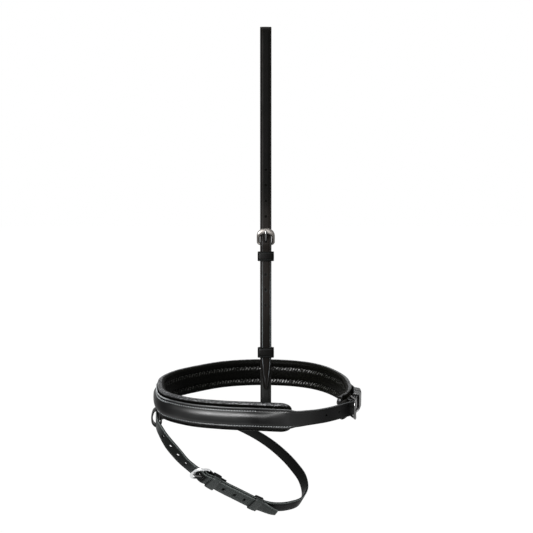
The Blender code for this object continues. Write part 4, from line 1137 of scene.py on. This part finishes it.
dress(noseband, BODY, front, "nose_leather", "noseband_leather")

# %% [markdown]
# ## Flash strap
# The thin strap is folded round its own buckle, hangs through the loop at the front of the noseband and
# comes back to the buckle. Its end is cut on a slant and square at the tip, and being stiff and new it
# stands a little off the strap behind it. The slant comes from moving the narrowing section to one side.
# %% The flash strap
FLASH_FLAP = 26.0
FLASH_TIP = 104.5
FLASH_POINT = 22.0      # length of the slanted end, and its width at the tip
FLASH_END = 9.5
FLASH_LIFT = 3.4        # how far the tip stands off
FLASH_SAG = -0.7        # past the buckle the strap hangs this much lower on the one below
FLASH_RUNNER = 74.4     # place of the sliding keeper, and where the end starts to stand off past it
FLASH_FREE = FLASH_TIP - FLASH_RUNNER - 9.8
FLASH_HOLES_BACK = (28.0, 42.2, 56.4, 70.6)
FLASH_HOLES_PAST = (28.0, 44.0, 58.4)
FLASH_HOLE_R = 2.1
END_HOLE_R = 1.15
SWAY = 30.0             # the last stretch leans 1 mm to the side
round_s = flash_line.length
flash_path = (folded(0.0, FLASH_FLAP) + eased([(RUN_OUT, 0.0), (round_s - RUN_IN, 0.0)])[1:]
              + eased(over_buckle(round_s, FLASH_TIP, FLASH_LIFT, FLASH_FREE))[1:])


def flash_section(s, run, total):
    """The flash strap's section, cut on a slant at its end."""
    full = min(1.0, (total - run) / FLASH_POINT)
    half = (FLASH_END + (2 * FLASH_HALF - FLASH_END) * full) / 2
    shift = half - FLASH_HALF + FLASH_SAG * smooth((s - round_s + RUN_IN) / RUN_IN)
    return flat_section(half, shift=shift + smooth((s - round_s - FLASH_TIP + SWAY) / SWAY))


flash = strap("flash_strap_finished", flash_line, flash_path, flash_section)
flash_holes = punch(flash_line, [(round_s - back, 0.0, 0.0) for back in FLASH_HOLES_BACK], FLASH_HOLE_R)
end_holes = punch(flash_line, [(round_s + past, LAYER, FLASH_SAG) for past in FLASH_HOLES_PAST], END_HOLE_R)
slot = tongue_slot(flash_line, 0.0)
cut(flash, flash_holes, end_holes, slot)
drop(flash_holes, end_holes, slot)
dress(flash, "flash", waxed, "flash_leather", "flash_strap")

# %% [markdown]
# ## Strips bent into loops
# A keeper is a strip of thinner leather sewn into a ring round the strap. The strip's own section, with its
# two pressed creases, is extruded round the ring. The flash loop is made the same way, but its two ends go
# up between the noseband's front leather and the pad.
# %% A strip round a route
STRIP_CREASE = 1.3
STRIP_EDGE_R = 0.5
KEEPER_CORNER_R = 1.4   # inside


def strip_round(name, line, middle, route, half, thick, closed=True):
    """Extrude a strip's section along a route of (across, outward) points in the plane of a strap's
    section; half is half the strip's width, which lies along the strap."""
    section = flat_section(half, thick, STRIP_CREASE, STRIP_EDGE_R)
    rings, notes = [], []
    run = 0.0
    count = len(route)
    for i, (a, d) in enumerate(route):
        a1, d1 = route[i - 1] if closed or i else route[0]
        a2, d2 = route[(i + 1) % count] if closed or i < count - 1 else route[-1]
        size = math.hypot(a2 - a1, d2 - d1)
        na, nd = (d2 - d1) / size, -(a2 - a1) / size
        rings.append([line.place(middle + x, d + nd * h, a + na * h) for x, h, _ in section])
        notes.append([(run, x, e) for x, h, e in section])
        run += size / 2
    mesh = new_mesh()
    extrude_rings(mesh, rings, notes, closed)
    return finish_mesh(name, mesh)


def ring_route(half, low, high, radius, shift=0.0, pieces=6):
    """The middle line of a keeper round a strap, anticlockwise seen along the strap."""
    made = []
    for a, d, start in ((half, high, 0), (-half, high, 90), (-half, low, 180), (half, low, 270)):
        ca = a - math.copysign(radius, a)
        cd = d - radius if start < 180 else d + radius
        for k in range(pieces + 1):
            turn = math.radians(start + 90 * k / pieces)
            made.append((ca + radius * math.cos(turn) + shift, cd + radius * math.sin(turn)))
    return made


def keeper(name, line, middle, half_length, half, low, high, room=GAP, shift=0.0):
    """A keeper; half is its inner half width, low and high the faces it goes round."""
    grow = KEEPER_T / 2
    route = ring_route(half + grow, low - room - grow, high + room + grow, KEEPER_CORNER_R + grow, shift)
    return strip_round(name, line, middle, route, half_length, KEEPER_T)


print("a keeper's route has", len(ring_route(HEAD_HALF, -FACE, FACE, KEEPER_CORNER_R)), "steps")

# %% [markdown]
# ## Keepers
# Each strap has a fixed keeper, sewn on behind its buckle, and a running keeper that slides and holds the
# end down. A fixed one goes round both straps and, where the folded flap lies behind them, round that too.
# The fixed ones ride with their strap, the running ones on bodies of their own.
# %% Six keepers
HEAD_KEEPER, HEAD_RUNNER = 14.0, 122.0    # places past each buckle
CHIN_KEEPER, CHIN_RUNNER = 16.7, 28.8
FLASH_KEEPER = 12.8
HEAD_IN = HEAD_HALF + FRAME_SIDE          # inner half widths
CHIN_IN = CHIN_HALF + CHIN_SIDE
FLASH_IN = FLASH_HALF + 0.8
KEEPERS = (
    # name, line, place, half length, inner half width, lowest and highest face, room, shift
    ("head_fixed_keeper", head_line, head_s + HEAD_KEEPER, 5.3, HEAD_IN, -FACE, FACE + GAP, GAP, 0),
    ("head_running_keeper", head_line, head_s + HEAD_RUNNER, 5.7, HEAD_IN, -STRAP_T / 2, FACE, GAP, 0),
    ("chin_fixed_keeper", nose_line, chin_s + CHIN_KEEPER, 5.0, CHIN_IN, -STRAP_T / 2, FACE, GAP, 0),
    ("chin_running_keeper", nose_line, chin_s + CHIN_RUNNER, 5.0, CHIN_IN, -STRAP_T / 2, FACE, 2 * GAP, 0),
    ("flash_fixed_keeper", flash_line, FLASH_KEEPER, 5.3, FLASH_IN, -FACE, FACE + GAP, GAP, FLASH_SAG),
    ("flash_running_keeper", flash_line, FLASH_RUNNER, 5.3, FLASH_IN, -STRAP_T / 2, FACE, 0.5,
     FLASH_SAG / 2))
KEEPER_LOOKS = {"head": (BODY, ring_leather, "bridle_leather"), "chin": (BODY, chin_ring, "nose_leather"),
                "flash": ("flash", waxed_ring, "flash_leather")}
for name, *sizes in KEEPERS:
    which = name.split("_")[0]
    body, look, slot_name = KEEPER_LOOKS[which]
    if "running" in name:
        body = which + "_runner"
    dress(keeper(name + "_finished", *sizes), body, look, slot_name, name)

# %% [markdown]
# ## Flash loop
# The loop hangs under the front of the noseband. Its route is drawn as a rounded bag with two ends
# that lie on each other between leather and pad; a few chosen points and a smooth curve are enough.
# %% The flash loop
LOOP_AT = (-123.5, -2.0, 0)
LOOP_HALF = 5.5        # half its width along the noseband
LOOP_THIN = 0.1        # its leather is pressed this much thinner than cut
LOOP_ROUTE = [(1.0, 2.2), (-6.0, 2.2), (-13.5, 2.25), (-15.4, 2.9), (-16.3, 4.6), (-17.0, 6.8), (-18.6, 8.9),
              (-22.9, 10.8), (-28.5, 11.6), (-33.8, 10.6), (-37.1, 7.5), (-37.1, 3.4), (-33.8, 0.95),
              (-27.5, 0.8), (-22.1, 0.8), (-18.4, 1.4)]
loop_s = pad_line.nearest(LOOP_AT)
loop_route = [(p.x, p.y) for p in curve_through([(*p, 0) for p in LOOP_ROUTE], pieces=4)]
loop = strip_round("flash_loop_finished", pad_line, loop_s, loop_route, LOOP_HALF, LOOP_T - LOOP_THIN,
                   closed=False)
dress(loop, BODY, loop_leather, "nose_leather", "flash_loop")

# %% [markdown]
# ## Buckles
# Each buckle is a cast and polished frame with a round heel bar, two legs that rise out of the strap's
# plane, and a taller domed bar across the top, on which the tongue rests. A circle is extruded along the
# frame's track and stretched into the domed bar as it goes. A torus bent by a modifier would keep the same
# thickness everywhere, which a cast frame doesn't.
# %% A buckle's frame
LEG_R = 1.35
TOP_BAR_R = 1.6
FRAME_HEEL_R = 2.2      # corners of a frame
FRAME_TOP_R = 6.6
CORNER_STEPS = 12
FRAME_SIDES = 20


def buckle_frame(name, line, at, half, length, top_d, top_half, leg):
    """A frame round a strap of this half width; top_d is the height of its top bar, length its distance
    from the heel bar, and top_half and leg half the widths of the top bar and the legs."""
    origin, along, out, width = line.at(at)
    mid = half + FRAME_SIDE + 2 * LEG_R - leg
    corners = ((mid, 0.0, FRAME_HEEL_R, -90), (mid, length, FRAME_TOP_R, 0), (-mid, length, FRAME_TOP_R, 90),
               (-mid, 0.0, FRAME_HEEL_R, 180))
    track = []
    for a, f, radius, start in corners:
        ca = a - math.copysign(radius, a)
        cf = f + radius if f == 0.0 else f - radius
        if start == 0:
            track += [(mid, length * (0.2 + 0.06 * k)) for k in range(7)]
        if start == 180:
            track += [(-mid, length * (0.56 - 0.06 * k)) for k in range(7)]
        for k in range(CORNER_STEPS + 1):
            turn = math.radians(start + 90 * k / CORNER_STEPS)
            track.append((ca + radius * math.cos(turn), cf + radius * math.sin(turn)))

    def height(f):
        """How far out of the strap's plane the frame is, this far from its heel bar."""
        return BAR_D + (top_d - BAR_D) * smooth(f / (length - BAR_R))

    places = [origin - along * f + out * height(f) + width * a for a, f in track]
    turns = [2 * math.pi * k / FRAME_SIDES for k in range(FRAME_SIDES)]
    rings = []
    for i, (_, f) in enumerate(track):
        ahead = (places[(i + 1) % len(places)] - places[i - 1]).normalized()
        steep = (height(f + 0.05) - height(f - 0.05)) / 0.1
        face = (out + along * steep).normalized()
        side = ahead.cross(face).normalized()
        top = smooth((f - length + FRAME_TOP_R) / FRAME_TOP_R)
        heel = 1 - smooth(f / FRAME_HEEL_R)
        tall = leg + (top_half - leg) * top + (BAR_R - leg) * heel
        deep = LEG_R + (TOP_BAR_R - LEG_R) * top + (BAR_R - LEG_R) * heel
        rings.append([places[i] + side * tall * math.cos(t) + face * deep * math.sin(t) for t in turns])
    mesh = new_mesh()
    extrude_rings(mesh, rings, closed=True)
    return finish_mesh(name, mesh, ROUND)


print("legs %.1f mm thick, top bar %.1f mm" % (2 * LEG_R, 2 * TOP_BAR_R))

# %% [markdown]
# ## Tongues
# A tongue is a steel wire bent into an eye round the heel bar, straight from there to the top bar, with a
# filed tip that reaches just past it. The same extrusion follows the bent wire, and the last rings shrink
# for the tip.
# %% A buckle's tongue
EYE_ROOM = 0.15         # between the bar and the eye
TOP_BAR_HALF = 3.1
EYE_TURN = 270          # degrees
EYE_STEPS = 30
WIRE_SIDES = 16
TIP = ((0.0, 0.0, 0.96), (0.5, 0.05, 0.8), (0.8, 0.1, 0.45))   # past the bar, lower by, share of the radius


def buckle_tongue(name, line, at, length, top_d):
    """A tongue from its eye on the heel bar to its rest on the top bar."""
    origin, along, out, width = line.at(at)
    eye = BAR_R + EYE_ROOM + TONGUE_R
    rest_x, rest_d = 0.6 + TOP_BAR_HALF - length, top_d + TOP_BAR_R + GAP + TONGUE_R
    reach = math.hypot(rest_x, rest_d - BAR_D)
    start = math.atan2(rest_d - BAR_D, rest_x) + math.asin(eye / reach) - math.pi / 2
    track = []
    for k in range(EYE_STEPS + 1):
        angle = start - math.radians(EYE_TURN) * (1 - k / EYE_STEPS)
        track.append((eye * math.cos(angle), BAR_D + eye * math.sin(angle), TONGUE_R))
    x1, d1, _ = track[-1]
    track += [(x1 + (rest_x - x1) * k / 4, d1 + (rest_d - d1) * k / 4, TONGUE_R) for k in (1, 2, 3, 4)]
    track += [(-length - past, rest_d - lower, TONGUE_R * share) for past, lower, share in TIP]
    turns = [2 * math.pi * k / WIRE_SIDES for k in range(WIRE_SIDES)]
    rings = []
    for i, (x, d, radius) in enumerate(track):
        one, two = track[max(i - 1, 0)], track[min(i + 1, len(track) - 1)]
        ahead = (along * (two[0] - one[0]) + out * (two[1] - one[1])).normalized()
        side = ahead.cross(width)
        middle = origin + along * x + out * d
        rings.append([middle + side * radius * math.cos(t) + width * radius * math.sin(t) for t in turns])
    mesh = new_mesh()
    extrude_rings(mesh, rings)
    return finish_mesh(name, mesh, ROUND)


print("tongues of wire %.1f mm thick" % (2 * TONGUE_R))

# %% [markdown]
# ## Three buckles
# The three buckles are one pattern in three sizes. Frame and tongue ride on bodies of their own, because
# each turns on the heel bar.
# %% Frames and tongues
BUCKLES = (
    # which, line, place, half width of the strap, length, height of the top bar, its half width, leg, steel
    ("head", head_line, head_s, HEAD_HALF, 14.0, 3.9, 3.1, 1.75, dull_steel_painted_dark),
    ("chin", nose_line, chin_s, CHIN_HALF, 15.5, 6.2, 3.1, LEG_R, steel),
    ("flash", flash_line, 0.0, FLASH_HALF, 14.5, 4.2, 2.1, 1.1, steel_painted_bright))
for which, line, at, half, length, top_d, top_half, leg, metal in BUCKLES:
    piece = buckle_frame(which + "_frame_finished", line, at, half, length, top_d, top_half, leg)
    dress(piece, which + "_frame", metal, "steel", which + "_buckle_frame")
    piece = buckle_tongue(which + "_tongue_finished", line, at, length, top_d)
    dress(piece, which + "_tongue", steel, "steel", which + "_buckle_tongue")

# %% [markdown]
# ## Stitching
# The seams are saddle-stitched with waxed thread, eight stitches to the inch, so one about every 3 mm. Each
# stitch is a small flattened bead laid in the groove, a touch slanted, and one object holds a whole seam. A
# bead has only a few faces, because there are hundreds of them.
# %% A row of stitches
BEAD = 70      # the beads are shaded round up to this bend, in degrees
PITCH = 3.2    # eight stitches to the inch


def stitches(name, line, rows, size=(1.15, 0.34, 0.3), pitch=PITCH, slant=10):
    """Rows of stitches; each row is (from, to, outward, across), the last two numbers or functions."""
    mesh = new_mesh()
    for start, end, out, across in rows:
        for k in range(int((end - start) / pitch)):
            s = start + pitch * (k + 0.5)
            d = out(s) if callable(out) else out
            a = across(s) if callable(across) else across
            turn = Matrix.Rotation(math.radians(slant if a > 0 else -slant), 4, "Y")
            bmesh.ops.create_uvsphere(mesh, u_segments=6, v_segments=5, radius=1.0,
                                      matrix=matrix_at(line, s, d, a) @ turn @ Matrix.Diagonal((*size, 1.0)))
    return finish_mesh(name, mesh, BEAD)


print("a row of 100 mm takes", int(100 / PITCH), "stitches")

# %% [markdown]
# ## Seams of the front leather
# Two seams run in the grooves at the foot of the ridge. Their thread is painted pale, a painted highlight;
# towards the near end the upper one lies in shade and is painted darker, so that stretch is an object of its
# own with the dark thread.
# %% Two seams
SEAM_D = STRAP_T / 2 - 0.12            # the thread stands a little out of its groove
SEAM_START = far_sewn_s - 6
SEAM_END = near_end_s + 1
LAST_LIGHT = nose_line.nearest((-7.5, -80, 0))
SEAM_STITCH = {"size": (0.9, 0.45, 0.6), "pitch": 3.0, "slant": 25}


def seam_across(side):
    """Where the groove of the upper (1) or lower (-1) seam lies across the leather, at any length."""
    return lambda s: side * SEAM_HALF * nose_raise(s)[1] / NOSE_HALF - RIDGE_SAG * nose_raise(s)[0]


rows_painted_pale = [(SEAM_START, LAST_LIGHT, SEAM_D, seam_across(1)),
             (SEAM_START, SEAM_END, SEAM_D, seam_across(-1))]
rows_painted_dark = [(LAST_LIGHT, SEAM_END, SEAM_D, seam_across(1))]
dress(stitches("noseband_seams", nose_line, rows_painted_pale, **SEAM_STITCH), BODY, thread, "nose_leather")
dress(stitches("noseband_seam_end", nose_line, rows_painted_dark, **SEAM_STITCH), BODY, dark_thread, "nose_leather")

# %% [markdown]
# ## Quilting and flaps
# The quilting stitches sit at the bottom of the pad's two channels, one to each pucker, and follow the
# channels as the pad gets lower. The two flaps behind the buckles have a short row along each edge.
# %% Quilting and the stitches of the flaps
CHANNEL = 0.475         # share of the half height at which a channel runs
QUILT_FROM, QUILT_LEFT = 8.0, 9


def channel_depth(s):
    """Outward place of the bottom of a channel."""
    return -0.5 * PAD_BACK * pad_size(s)[1]


def channel_across(side):
    """Height of the upper (1) or lower (-1) channel, at any length."""
    return lambda s: side * CHANNEL * pad_size(s)[0]


quilt_rows = [(QUILT_FROM, pad_line.length - QUILT_LEFT, channel_depth, channel_across(side))
              for side in (1, -1)]
quilting = stitches("pad_channel_stitches", pad_line, quilt_rows, (1.5, 0.3, 0.4), pitch=STITCH_PITCH)
dress(quilting, BODY, lining_thread, "soft_lining")
FLAP_D = -LAYER - STRAP_T / 2 - 0.05   # on the back of the flap, up to this far past the buckle
FLAP_ROW_END = 25
FLAPS = (
    # name, line, place of the buckle, start of the row past it, distance from the middle, body, slot
    ("cheek_chape_stitches", head_line, head_s, 9.5, 4.2, BODY, "bridle_leather"),
    ("flash_chape_stitches", flash_line, 0.0, 9.0, 5.6, "flash", "flash_leather"))
for name, line, at, start, across, body, slot_name in FLAPS:
    rows = [(at + start, at + FLAP_ROW_END, FLAP_D, side * across) for side in (1, -1)]
    dress(stitches(name, line, rows), body, dark_thread, slot_name)

# %% [markdown]
# ## Camera
# The photograph looks slightly down on the hanging noseband from 1.3 m in front, with a long lens, so the
# straps hardly converge. Its place and lens were worked out from where the straps lie in the picture.
# %% Camera
PHOTO_WIDTH_PX = 533
FOCAL_LENGTH_PX = 1144
SENSOR = 36.0
LOOK_DOWN = 12.6
camera = bpy.data.objects.new("camera", bpy.data.cameras.new("camera"))
bpy.context.collection.objects.link(camera)
camera.location = (0.0008, -1.305917, 0.0198)
camera.rotation_euler = (math.radians(90 - LOOK_DOWN), 0, 0)
camera.data.sensor_width = SENSOR
camera.data.lens = SENSOR * FOCAL_LENGTH_PX / PHOTO_WIDTH_PX
bpy.context.scene.camera = camera
print("lens of %.1f mm" % camera.data.lens)

# %% [markdown]
# ## Floor and surroundings
# The noseband was photographed against white. Floor and world are white only to the camera and in
# reflections; as light on the leather they stay weaker, so that black leather stays black and the floor
# still takes a faint shadow.
# %% The floor
FLOOR_Z, FLOOR_HALF = -1.35, 6.0
FLOOR_SHADE = 0.95      # the floor keeps a twentieth of its own shading, and its white is this bright
FLOOR_WHITE = 1.05
SOFT_LIGHT = 0.3        # strength of the world as light on the leather
WHITE = (1, 1, 1, 1)
scene = bpy.context.scene
scene.view_settings.view_transform = "Standard"


def seen(tree):
    """1 for rays from the camera, through glass or from a reflection, and 0 for plain light."""
    rays = add(tree, "LightPath").outputs
    share = add(tree, "Math", [rays["Is Camera Ray"], rays["Is Transmission Ray"]], operation="MAXIMUM")
    return add(tree, "Math", [share, rays["Is Glossy Ray"]], operation="MAXIMUM")


floor_mesh = bmesh.new()
bmesh.ops.create_grid(floor_mesh, x_segments=1, y_segments=1, size=FLOOR_HALF)
bmesh.ops.translate(floor_mesh, verts=floor_mesh.verts, vec=(0, 0, FLOOR_Z))
floor_data = bpy.data.meshes.new("floor")
floor_mesh.to_mesh(floor_data)
floor_mesh.free()
floor = bpy.data.objects.new("floor", floor_data)
bpy.context.collection.objects.link(floor)
pale = bpy.data.materials.new("pale_floor")
pale.use_nodes = True
tree = pale.node_tree
tree.nodes.clear()
paint = add(tree, "BsdfDiffuse", {"Color": "#e6e6e4"})
white = add(tree, "Emission", {"Color": WHITE, "Strength": FLOOR_WHITE})
add(tree, "OutputMaterial",
    {"Surface": add(tree, "MixShader", [product(tree, seen(tree), FLOOR_SHADE), paint, white])})
floor_data.materials.append(pale)
print("floor %.0f m wide" % (2 * FLOOR_HALF))

# %% The world
world = bpy.data.worlds.new("studio")
scene.world = world
world.use_nodes = True
tree = world.node_tree
tree.nodes.clear()
soft = add(tree, "Background", {"Color": WHITE, "Strength": SOFT_LIGHT})
bright = add(tree, "Background", {"Color": WHITE, "Strength": 1.0})
add(tree, "OutputWorld", {"Surface": add(tree, "MixShader", [seen(tree), soft, bright])})
print("world made with", len(tree.nodes), "nodes")

# %% [markdown]
# ## Lamps
# A large soft lamp on the left makes the general light, one above lifts the top edges and one on the right
# fills the shadows. The long highlight along the raised leather comes from a narrower lamp beside the first
# that is left out of the plain surface light, because black leather shows a lamp mostly as a reflection.
# %% Four soft lamps


def soft_lamp(name, place, target, power, size, height, only_shine=False):
    """A rectangular soft light aimed at a point; only_shine leaves it out of the plain surface light."""
    lamp = bpy.data.objects.new(name, bpy.data.lights.new(name, "AREA"))
    lamp.data.shape, lamp.data.size, lamp.data.size_y, lamp.data.energy = "RECTANGLE", size, height, power
    lamp.location = place
    lamp.rotation_euler = (Vector(target) - Vector(place)).to_track_quat("-Z", "Y").to_euler()
    lamp.visible_diffuse = not only_shine
    bpy.context.collection.objects.link(lamp)
    print(name, "lamp of", power, "W")


soft_lamp("key", (-0.68, -0.77, 0.23), (-0.05, -0.07, -0.43), 8.0, 0.62, 0.5)
soft_lamp("shine", (-0.44, -0.96, 0.05), (-0.03, -0.07, -0.43), 44.0, 0.34, 0.62, only_shine=True)
soft_lamp("top", (-0.1, 0.1, 0.75), (0, 0, -0.35), 10.0, 0.8, 0.6)
soft_lamp("fill", (0.8, -1.3, 0.1), (0, 0, -0.3), 2.0, 0.9, 0.9)
